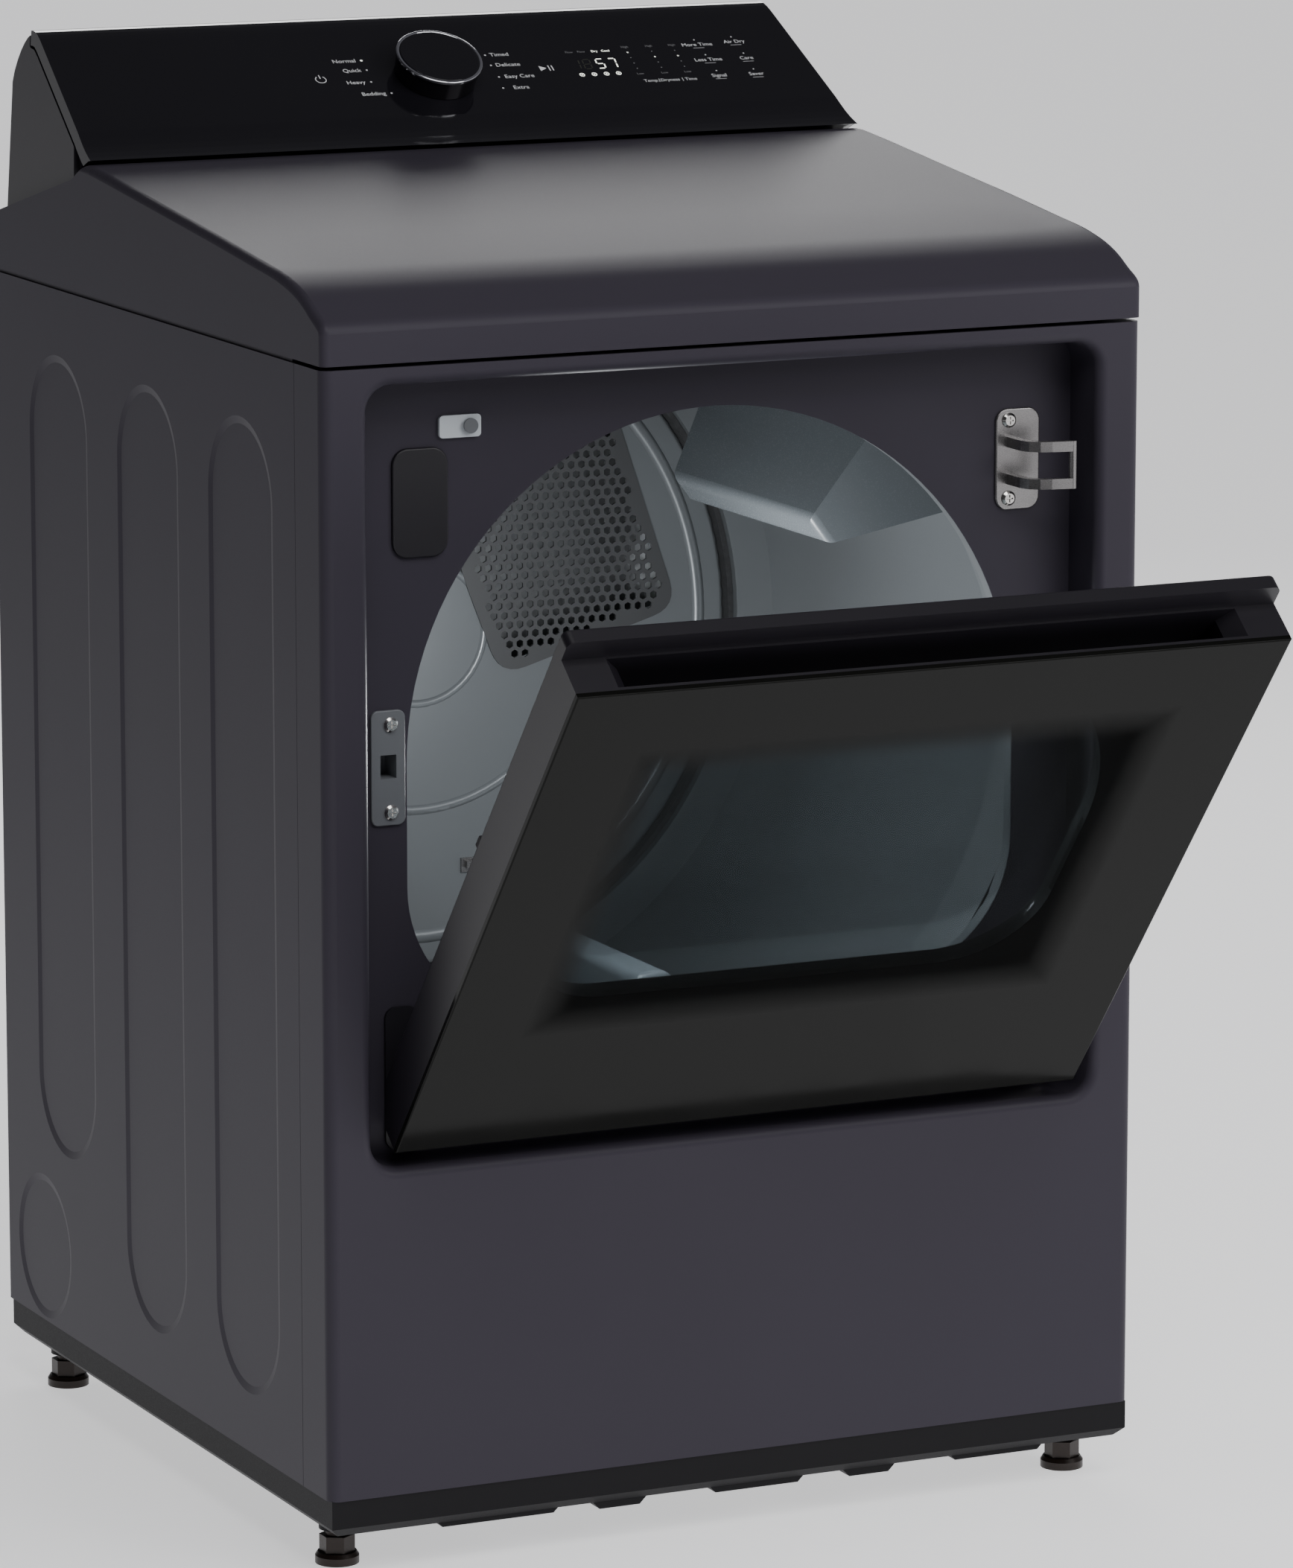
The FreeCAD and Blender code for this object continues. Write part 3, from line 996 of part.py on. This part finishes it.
def main():
    build_base()
    build_sides()
    build_front()
    build_cover()
    build_rear()
    build_bulkheads()
    build_drum()
    build_rollers()
    build_drive()
    build_air()
    build_console()
    build_fittings()
    build_door()
    lo = min(s.BoundBox.YMin for s in nodes.values())
    hi = max(s.BoundBox.YMax for s in nodes.values())
    mid = round((lo + hi) / 2, 3)
    os.makedirs("parts", exist_ok=True)
    for name, shape in nodes.items():
        shape.translate(V(0, -mid, 0))
        shape.exportStep("parts/" + name + ".step")
    print("nodes", len(nodes), "mid_y", mid, "bounds", round(lo, 3), round(hi, 3),
          max(s.BoundBox.ZMax for s in nodes.values()))
    for name, shape in nodes.items():
        b = shape.BoundBox
        print(name, len(shape.Solids), round(shape.Volume / 1000.0, 1), shape.isValid(),
              [round(v, 1) for v in (b.XMin, b.XMax, b.YMin, b.YMax, b.ZMin, b.ZMax)])


main()
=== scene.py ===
import json
import math

import bmesh
import bpy
from mathutils import Matrix, Vector


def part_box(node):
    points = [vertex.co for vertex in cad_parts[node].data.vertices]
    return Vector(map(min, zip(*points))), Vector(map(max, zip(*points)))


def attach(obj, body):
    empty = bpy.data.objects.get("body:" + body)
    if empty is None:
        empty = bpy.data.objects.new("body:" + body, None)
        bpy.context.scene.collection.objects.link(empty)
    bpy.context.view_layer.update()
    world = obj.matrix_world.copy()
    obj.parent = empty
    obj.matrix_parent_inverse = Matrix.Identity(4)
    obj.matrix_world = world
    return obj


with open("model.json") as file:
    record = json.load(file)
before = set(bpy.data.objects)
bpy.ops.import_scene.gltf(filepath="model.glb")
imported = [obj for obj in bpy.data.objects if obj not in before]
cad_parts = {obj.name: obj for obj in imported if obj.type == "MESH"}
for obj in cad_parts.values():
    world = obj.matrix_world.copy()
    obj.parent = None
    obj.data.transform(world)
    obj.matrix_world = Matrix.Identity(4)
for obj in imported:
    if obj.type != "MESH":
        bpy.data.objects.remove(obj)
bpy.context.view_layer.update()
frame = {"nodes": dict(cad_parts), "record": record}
nodes = frame["nodes"]

MM = 0.001
PRINT_OUT = 0.12      # print stands this far off the fascia, millimetres

# The cabinet front face and the drum axis come from the frame.
# The fascia slope and the open door repeat the sizes of the CAD model.
FRONT_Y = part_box("front_panel")[0][1]
drum_low, drum_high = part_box("drum_shell")
DRUM_Z = (drum_low[2] + drum_high[2]) / 2
SLOPE = math.radians(31.4)
FASCIA_MID = Vector((0.0, FRONT_Y + 0.563, 1.0845))
TILT = math.radians(39.4)
DOOR_FOOT = Vector((0.0, FRONT_Y - 0.0022, 0.3305))
DOOR_UP = Vector((0.0, -math.sin(TILT), math.cos(TILT)))


# ---- finishes ----
def new_finish(name):
    m = bpy.data.materials.new(name)
    m.use_nodes = True
    m.node_tree.nodes.clear()
    return m, m.node_tree


def add(tree, kind, **values):
    n = tree.nodes.new(kind)
    for key, value in values.items():
        if hasattr(n, key):
            setattr(n, key, value)
        else:
            n.inputs[key.replace("_", " ")].default_value = value
    return n


def spot(tree, scale, detail=4.0, stretch=(1, 1, 1), kind="ShaderNodeTexNoise"):
    where = add(tree, "ShaderNodeTexCoord")
    turn = add(tree, "ShaderNodeMapping")
    turn.inputs["Scale"].default_value = stretch
    tree.links.new(where.outputs["Object"], turn.inputs["Vector"])
    grain = add(tree, kind)
    grain.inputs["Scale"].default_value = scale
    if "Detail" in grain.inputs:
        grain.inputs["Detail"].default_value = detail
    tree.links.new(turn.outputs["Vector"], grain.inputs["Vector"])
    return grain


def span(tree, source, low, high, out_low, out_high):
    n = add(tree, "ShaderNodeMapRange")
    n.inputs["From Min"].default_value = low
    n.inputs["From Max"].default_value = high
    n.inputs["To Min"].default_value = out_low
    n.inputs["To Max"].default_value = out_high
    tree.links.new(source, n.inputs["Value"])
    return n.outputs["Result"]


def finish(name, colour, rough=0.5, metal=0.0, vary=0.12, grain=900.0, bump=0.02, depth=0.0002,
           stretch=(1, 1, 1), cloud=6.0, ior=1.5, light=None):
    # painted, moulded or metal surface: cloudy colour, uneven gloss and a fine grain
    m, tree = new_finish(name)
    out = add(tree, "ShaderNodeOutputMaterial")
    skin = add(tree, "ShaderNodeBsdfPrincipled")
    skin.inputs["Metallic"].default_value = metal
    skin.inputs["IOR"].default_value = ior
    soft = spot(tree, cloud, 3.0)
    tint = add(tree, "ShaderNodeMix", data_type="RGBA")
    dark = [c * (1 - vary) for c in colour]
    pale = [min(1.0, c * (1 + vary)) for c in colour]
    tint.inputs[6].default_value = (*dark, 1)
    tint.inputs[7].default_value = (*pale, 1)
    tree.links.new(soft.outputs["Fac"], tint.inputs[0])
    tree.links.new(tint.outputs[2], skin.inputs["Base Color"])
    fine = spot(tree, grain, 2.0, stretch)
    tree.links.new(span(tree, fine.outputs["Fac"], 0.3, 0.7, max(0.02, rough * 0.9), min(1.0, rough * 1.1)),
                   skin.inputs["Roughness"])
    relief = add(tree, "ShaderNodeBump")
    relief.inputs["Strength"].default_value = bump
    relief.inputs["Distance"].default_value = depth
    tree.links.new(fine.outputs["Fac"], relief.inputs["Height"])
    tree.links.new(relief.outputs["Normal"], skin.inputs["Normal"])
    if light:
        skin.inputs["Emission Color"].default_value = (*colour, 1)
        skin.inputs["Emission Strength"].default_value = light
    tree.links.new(skin.outputs["BSDF"], out.inputs["Surface"])
    return m


def axis_value(tree, direction, origin):
    # distance along a direction from an origin, in metres
    where = add(tree, "ShaderNodeTexCoord")
    shift = add(tree, "ShaderNodeVectorMath", operation="SUBTRACT")
    shift.inputs[1].default_value = origin
    tree.links.new(where.outputs["Object"], shift.inputs[0])
    dot = add(tree, "ShaderNodeVectorMath", operation="DOT_PRODUCT")
    dot.inputs[1].default_value = direction
    tree.links.new(shift.outputs["Vector"], dot.inputs[0])
    return dot.outputs["Value"]


def maths(tree, what, a, b=None):
    n = add(tree, "ShaderNodeMath", operation=what)
    for i, v in enumerate((a, b)):
        if v is None:
            continue
        if isinstance(v, (int, float)):
            n.inputs[i].default_value = v
        else:
            tree.links.new(v, n.inputs[i])
    return n.outputs[0]


def door_glass_finish():
    # smoked glass: printed black border, a see-through middle and a smooth fade between, in place of the dotted
    # print
    m, tree = new_finish("smoked_door_glass")
    out = add(tree, "ShaderNodeOutputMaterial")
    x = axis_value(tree, (1, 0, 0), (0, 0, 0))
    s = axis_value(tree, DOOR_UP, DOOR_FOOT)
    side = maths(tree, "SUBTRACT", 0.222, maths(tree, "ABSOLUTE", x))
    low = maths(tree, "SUBTRACT", s, 0.128)
    high = maths(tree, "SUBTRACT", 0.452, s)
    near = maths(tree, "MINIMUM", side, maths(tree, "MINIMUM", low, high))
    fade = span(tree, near, 0.0, 0.030, 0.0, 1.0)
    body = add(tree, "ShaderNodeBsdfPrincipled")
    body.inputs["Base Color"].default_value = (0.0055, 0.0056, 0.0050, 1)
    body.inputs["Roughness"].default_value = 0.07
    body.inputs["IOR"].default_value = 1.17
    smear = spot(tree, 14.0, 3.0)
    tree.links.new(span(tree, smear.outputs["Fac"], 0.3, 0.7, 0.05, 0.11), body.inputs["Roughness"])
    pane = add(tree, "ShaderNodeBsdfTransparent")
    pane.inputs["Color"].default_value = (0.66, 0.68, 0.69, 1)
    mix = add(tree, "ShaderNodeMixShader")
    tree.links.new(maths(tree, "MULTIPLY", fade, 0.86), mix.inputs["Fac"])
    tree.links.new(body.outputs["BSDF"], mix.inputs[1])
    tree.links.new(pane.outputs["BSDF"], mix.inputs[2])
    tree.links.new(mix.outputs["Shader"], out.inputs["Surface"])
    return m


def window_finish():
    # clear bowl behind the smoked glass
    m, tree = new_finish("clear_window_bowl")
    out = add(tree, "ShaderNodeOutputMaterial")
    gloss = add(tree, "ShaderNodeBsdfPrincipled")
    gloss.inputs["Base Color"].default_value = (0.03, 0.032, 0.034, 1)
    gloss.inputs["IOR"].default_value = 1.5
    smear = spot(tree, 9.0, 3.0)
    tree.links.new(span(tree, smear.outputs["Fac"], 0.3, 0.7, 0.04, 0.1), gloss.inputs["Roughness"])
    pane = add(tree, "ShaderNodeBsdfTransparent")
    pane.inputs["Color"].default_value = (0.88, 0.91, 0.92, 1)
    facing = add(tree, "ShaderNodeLayerWeight")
    facing.inputs["Blend"].default_value = 0.22
    mix = add(tree, "ShaderNodeMixShader")
    tree.links.new(span(tree, facing.outputs["Facing"], 0.0, 1.0, 0.05, 0.75), mix.inputs["Fac"])
    tree.links.new(pane.outputs["BSDF"], mix.inputs[1])
    tree.links.new(gloss.outputs["BSDF"], mix.inputs[2])
    tree.links.new(mix.outputs["Shader"], out.inputs["Surface"])
    return m


FINISHES = {
    "cabinet_paint": finish("charcoal_powder_coat", (0.047, 0.042, 0.056), 0.42, vary=0.05, grain=2600, bump=0.10,
                            depth=0.00012, ior=1.22),
    "base_black": finish("base_black_paint", (0.005, 0.0045, 0.006), 0.55, grain=1500, bump=0.08, ior=1.3),
    "galvanised": finish("zinc_sheet", (0.46, 0.47, 0.48), 0.42, 0.9, vary=0.2, grain=60, bump=0.05, cloud=40),
    "drum_steel": finish("drum_enamel", (0.20, 0.212, 0.222), 0.32, 0.3, vary=0.05, grain=700, bump=0.05),
    "lifter_plastic": finish("lifter_plastic", (0.19, 0.21, 0.225), 0.26, vary=0.05, grain=900, bump=0.04),
    "grille_plastic": finish("grille_plastic", (0.075, 0.075, 0.078), 0.42, vary=0.08, grain=1100, bump=0.06),
    "felt": finish("grey_felt", (0.05, 0.05, 0.052), 0.95, vary=0.35, grain=1400, bump=0.8,
                   depth=0.0006, cloud=220),
    "black_rubber": finish("belt_rubber", (0.012, 0.012, 0.012), 0.7, grain=1200, bump=0.2),
    "foot_plastic": finish("foot_bronze_black", (0.022, 0.014, 0.011), 0.38, 0.3, vary=0.3, grain=500, bump=0.2),
    "roller_rubber": finish("roller_rubber", (0.03, 0.03, 0.03), 0.75, grain=800, bump=0.2),
    "motor_paint": finish("motor_enamel", (0.05, 0.05, 0.055), 0.45, grain=700, bump=0.15),
    "white_plastic": finish("white_sensor_plastic", (0.62, 0.66, 0.70), 0.38, vary=0.03, grain=1300, bump=0.03),
    "grey_plastic": finish("latch_grey_plastic", (0.14, 0.148, 0.162), 0.4, vary=0.06, grain=1200, bump=0.06),
    "black_plastic": finish("black_moulding", (0.012, 0.0105, 0.0145), 0.45, vary=0.1, grain=1500, bump=0.12),
    "console_gloss": finish("console_piano_black", (0.0085, 0.008, 0.0105), 0.09, vary=0.1, grain=350, bump=0.004,
                            ior=1.42),
    "console_cap": finish("console_cap_charcoal", (0.021, 0.0185, 0.0245), 0.42, vary=0.06, grain=2200, bump=0.1),
    "knob_silver": finish("knob_side_black_chrome", (0.05, 0.047, 0.054), 0.2, 0.8, vary=0.05, grain=300,
                          bump=0.02, stretch=(1, 1, 8)),
    "knob_chrome": finish("knob_bright_rim", (0.74, 0.74, 0.78), 0.12, 1.0, vary=0.03, grain=500, bump=0.01),
    "bright_screw": finish("nickel_screw", (0.72, 0.70, 0.68), 0.2, 1.0, vary=0.12, grain=900, bump=0.05,
                           cloud=300),
    "hinge_steel": finish("hinge_steel", (0.30, 0.29, 0.29), 0.28, 0.9, vary=0.1, grain=400, bump=0.06,
                          stretch=(1, 1, 14), cloud=60),
    "board": finish("board_green", (0.01, 0.08, 0.03), 0.4, grain=600, bump=0.1),
    "heater_wire": finish("heater_wire", (0.18, 0.15, 0.13), 0.5, 0.9, vary=0.3, grain=500, bump=0.1),
    "door_plastic": finish("door_satin_charcoal", (0.012, 0.0105, 0.0145), 0.36, vary=0.05, grain=2200,
                           bump=0.08),
    "seal_rubber": finish("seal_grey_rubber", (0.045, 0.045, 0.05), 0.7, vary=0.15, grain=700, bump=0.2),
    "door_tint": door_glass_finish(),
    "clear_window": window_finish(),
}
# white legend print with a painted glow: emission 0.25 makes the print light up though it is no lamp
LEGEND = finish("legend_white_print_painted_glow", (0.62, 0.62, 0.64), 0.5, vary=0.03, grain=900, bump=0.01, light=0.25)
LEGEND_DIM = finish("legend_grey", (0.24, 0.24, 0.25), 0.5, vary=0.03, grain=900, bump=0.01)
DIGIT = finish("digit_light", (0.95, 0.97, 0.88), 0.4, vary=0.02, grain=900, bump=0.01, light=1.6)
DIGIT_OFF = finish("digit_unlit", (0.035, 0.036, 0.030), 0.4, vary=0.05, grain=900, bump=0.01)

for entry in frame["record"]["subparts"]:
    shown = nodes[entry["node"]]
    shown.data.materials.clear()
    shown.data.materials.append(FINISHES[entry["material_slot"]])


# ---- helpers for added pieces ----
def piece(name, bm, material, body, smooth=40):
    bmesh.ops.recalc_face_normals(bm, faces=bm.faces)
    mesh = bpy.data.meshes.new(name)
    bm.to_mesh(mesh)
    bm.free()
    for f in mesh.polygons:
        f.use_smooth = True
    mesh.set_sharp_from_angle(angle=math.radians(smooth))
    mesh.materials.append(material)
    obj = bpy.data.objects.new(name, mesh)
    bpy.context.collection.objects.link(obj)
    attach(obj, body)
    return obj


def fascia_place(x, up, out=0.0):
    turn = Matrix.Rotation(SLOPE, 4, "X")
    at = Matrix.Translation(FASCIA_MID)
    return at @ turn @ Matrix.Translation((x * MM, up * MM, out * MM))


# ---- console print and display ----
def print_on_fascia(name, bm_parts, material):
    bm = bmesh.new()
    for part in bm_parts:
        bm.from_mesh(part)
        bpy.data.meshes.remove(part)
    piece(name, bm, material, "cabinet", smooth=1)


def words(text, x, up, size, side="CENTER"):
    curve = bpy.data.curves.new("words", "FONT")
    curve.body = text
    curve.size = size * MM
    curve.align_x = side
    curve.align_y = "CENTER"
    curve.resolution_u = 3
    holder = bpy.data.objects.new("words", curve)
    bpy.context.collection.objects.link(holder)
    bpy.context.view_layer.update()
    mesh = bpy.data.meshes.new_from_object(holder)
    bpy.data.objects.remove(holder)
    mesh.transform(fascia_place(x, up, PRINT_OUT))
    return mesh


def flat_shape(bm, x, up, turn=0.0):
    if turn:
        bmesh.ops.rotate(bm, verts=bm.verts, matrix=Matrix.Rotation(turn, 3, "Z"))
    bm.transform(fascia_place(x, up, PRINT_OUT))
    mesh = bpy.data.meshes.new("mark")
    bm.to_mesh(mesh)
    bm.free()
    return mesh


def dot(x, up, r=0.9):
    bm = bmesh.new()
    bmesh.ops.create_circle(bm, cap_ends=True, segments=16, radius=r * MM)
    return flat_shape(bm, x, up)


def bar(x, up, w, h, turn=0.0):
    bm = bmesh.new()
    bmesh.ops.create_grid(bm, x_segments=1, y_segments=1, size=0.5)
    bmesh.ops.scale(bm, vec=(w * MM, h * MM, 1), verts=bm.verts)
    return flat_shape(bm, x, up, turn)


def ring(x, up, r, width, sweep=math.tau, start=0.0):
    bm = bmesh.new()
    a = bm.verts.new(((r - width / 2) * MM, 0, 0))
    b = bm.verts.new(((r + width / 2) * MM, 0, 0))
    edge = bm.edges.new((a, b))
    bmesh.ops.rotate(bm, verts=bm.verts, matrix=Matrix.Rotation(start, 3, "Z"))
    bmesh.ops.spin(bm, geom=[a, b, edge], axis=(0, 0, 1), cent=(0, 0, 0), angle=sweep, steps=36,
                   use_merge=False)
    return flat_shape(bm, x, up)


def triangle(x, up, r):
    bm = bmesh.new()
    bmesh.ops.create_circle(bm, cap_ends=True, segments=3, radius=r * MM)
    return flat_shape(bm, x, up, -math.pi / 2)


SEGMENTS = {"a": (0, 1, 0), "b": (1, 0.5, 1), "c": (1, -0.5, 1), "d": (0, -1, 0), "e": (-1, -0.5, 1),
            "f": (-1, 0.5, 1), "g": (0, 0, 0)}


def digit(lit, x, up, w=6.4, h=12.6):
    # seven bars, the named ones only
    out = []
    for key in lit:
        sx, sy, upright = SEGMENTS[key]
        lean = 0.10 * sy * h / 2
        if upright:
            out.append(bar(x + sx * w / 2 + lean, up + sy * h / 2, 1.1, h / 2 - 1.4, -0.10))
        else:
            out.append(bar(x + lean, up + sy * h / 2, w - 1.6, 1.1))
    return out


def build_console_print():
    white = [ring(-107, -6, 4.4, 0.8, math.radians(290), math.radians(125)), bar(-107, -2.4, 0.9, 5.0)]
    for up, text in ((17, "Normal"), (4, "Quick"), (-12, "Heavy"), (-28, "Bedding")):
        white.append(words(text, -68 - (up < 0) * 2 + (up < -20) * 12, up, 6.6, "RIGHT"))
        white.append(dot(-63 + (up < -20) * 12 - (up < 0) * 2, up))
    for up, text in ((17, "Timed"), (3, "Delicate"), (-13, "Easy Care"), (-28, "Extra")):
        white.append(words(text, 51 + (up < 0) * 2 + (up < -20) * 2, up, 6.6, "LEFT"))
        white.append(dot(47 + (up < 0) * 1 - (up < -20) * 2, up))
    white.append(triangle(90, -4, 4.0))
    white.append(bar(96.4, -4, 1.0, 7.0))
    white.append(bar(99.4, -4, 1.0, 7.0))
    for x, up, text in ((240, 19, "More Time"), (242, -2, "Less Time"), (243, -24, "Signal"),
                        (275, 21, "Air Dry"), (277, -2, "Care"), (277, -24, "Saver")):
        white.append(words(text, x, up, 6.2))
        white.append(dot(x, up + 6.6, 0.7))
        white.append(bar(x, up - 4.6, 10, 0.35))
    for x, text in ((180, "Temp."), (197, "Dryness"), (216, "Time")):
        white.append(words(text, x, -27, 5.2))
    white.append(bar(187.2, -27, 0.5, 4.5))
    white.append(bar(208.4, -27, 0.5, 4.5))
    print_on_fascia("console_print", white, LEGEND)
    dim = []
    for x in (174, 196, 217):
        dim.append(words("High", x, 20, 3.6))
        dim.append(words("Low", x, -17, 3.6))
        for k in range(4):
            dim.append(dot(x, 12.5 - 7.4 * k, 0.6))
    for x in (122, 133):
        dim.append(words("Flow", x, 16, 3.6))
    print_on_fascia("console_print_dim", dim, LEGEND_DIM)
    lit = digit("afgcd", 144, -1) + digit("abc", 155, -1)
    lit += [words("Dry", 145, 16, 3.8), words("Cool", 155, 16, 3.8)]
    lit += [dot(174, 12.5, 0.8), dot(196, 5.1, 0.8), dot(217, 5.1, 0.8), dot(-63, 17, 1.1)]
    for x in (122, 133, 144, 155):
        lit.append(ring(x, -15, 2.0, 0.7))
        lit.append(bar(x, -15, 1.4, 1.4, 0.6))
    print_on_fascia("display_digits", lit, DIGIT)
    print_on_fascia("display_unlit_digits", digit("bc", 122, -1) + digit("abcdefg", 132, -1), DIGIT_OFF)


# ---- studio ----
FLOOR_HALF = 60.0
CAMERA_LENS = 175.9
CAMERA_X = -2.5099
CAMERA_AHEAD = 5.1498     # in front of the cabinet face
CAMERA_Z = 1.6763
CAMERA_DOWN = 10.744      # degrees below the horizontal
CAMERA_AROUND = 25.265    # degrees round from straight ahead


def build_studio():
    bm = bmesh.new()
    bmesh.ops.create_grid(bm, x_segments=1, y_segments=1, size=FLOOR_HALF)
    mesh = bpy.data.meshes.new("studio_floor")
    bm.to_mesh(mesh)
    bm.free()
    floor = bpy.data.objects.new("studio_floor", mesh)
    bpy.context.collection.objects.link(floor)
    ground = finish("pale_floor", (0.9, 0.9, 0.91), 0.7, vary=0.01, grain=30, bump=0.0, light=0.9)
    # the floor dims away to the left, so the cabinet side stays dark
    fall = axis_value(ground.node_tree, (1, 0, 0), (0, 0, 0))
    skin = next(n for n in ground.node_tree.nodes if n.type == "BSDF_PRINCIPLED")
    glow_level = span(ground.node_tree, fall, -3.2, 0.2, 0.30, 0.95)
    ground.node_tree.links.new(glow_level, skin.inputs["Emission Strength"])
    mesh.materials.append(ground)
    # studio walls: bright low down, dark overhead, so the black console stays black
    world = bpy.data.worlds.new("studio")
    world.use_nodes = True
    tree = world.node_tree
    back = tree.nodes["Background"]
    where = tree.nodes.new("ShaderNodeTexCoord")
    parts = tree.nodes.new("ShaderNodeSeparateXYZ")
    ramp = tree.nodes.new("ShaderNodeValToRGB")
    ramp.color_ramp.elements[0].position = 0.02
    ramp.color_ramp.elements[0].color = (0.50, 0.50, 0.52, 1)
    ramp.color_ramp.elements[1].position = 0.72
    ramp.color_ramp.elements[1].color = (0.16, 0.16, 0.175, 1)
    middle = ramp.color_ramp.elements.new(0.42)
    middle.color = (0.22, 0.22, 0.24, 1)
    tree.links.new(where.outputs["Generated"], parts.inputs[0])
    tree.links.new(parts.outputs["Z"], ramp.inputs["Fac"])
    tree.links.new(ramp.outputs["Color"], back.inputs["Color"])
    tree.links.new(span(tree, parts.outputs["X"], -0.7, 0.3, 0.08, 0.6), back.inputs["Strength"])
    bpy.context.scene.world = world

    def lamp(name, at, to, size, power):
        data = bpy.data.lights.new(name, "AREA")
        data.shape = "RECTANGLE"
        data.size, data.size_y = size
        data.energy = power
        obj = bpy.data.objects.new(name, data)
        obj.location = at
        obj.rotation_euler = (Vector(to) - Vector(at)).to_track_quat("-Z", "Y").to_euler()
        bpy.context.collection.objects.link(obj)

    lamp("top_softbox", (-0.3, -2.0, 3.3), (0, -0.1, 0.9), (2.2, 1.6), 46)
    lamp("front_softbox", (1.9, -2.9, 2.5), (0, -0.2, 0.5), (2.0, 1.6), 44)
    lamp("rear_softbox", (1.4, 3.6, 2.3), (0.1, 0.1, 1.0), (2.2, 0.9), 30)
    glow = bpy.data.lights.new("drum_lamp", "POINT")
    glow.energy = 4.2
    glow.shadow_soft_size = 0.05
    glow.color = (0.95, 0.98, 1.0)
    glow_obj = bpy.data.objects.new("drum_lamp", glow)
    glow_obj.location = (0.02, FRONT_Y + 0.22, DRUM_Z - 0.03)
    bpy.context.collection.objects.link(glow_obj)


def build_camera():
    data = bpy.data.cameras.new("camera")
    data.lens = CAMERA_LENS
    data.clip_end = 60
    cam = bpy.data.objects.new("camera", data)
    cam.location = (CAMERA_X, FRONT_Y - CAMERA_AHEAD, CAMERA_Z)
    cam.rotation_euler = (math.radians(90 - CAMERA_DOWN), 0.0, math.radians(-CAMERA_AROUND))
    bpy.context.collection.objects.link(cam)
    bpy.context.scene.camera = cam


build_console_print()
build_studio()
build_camera()
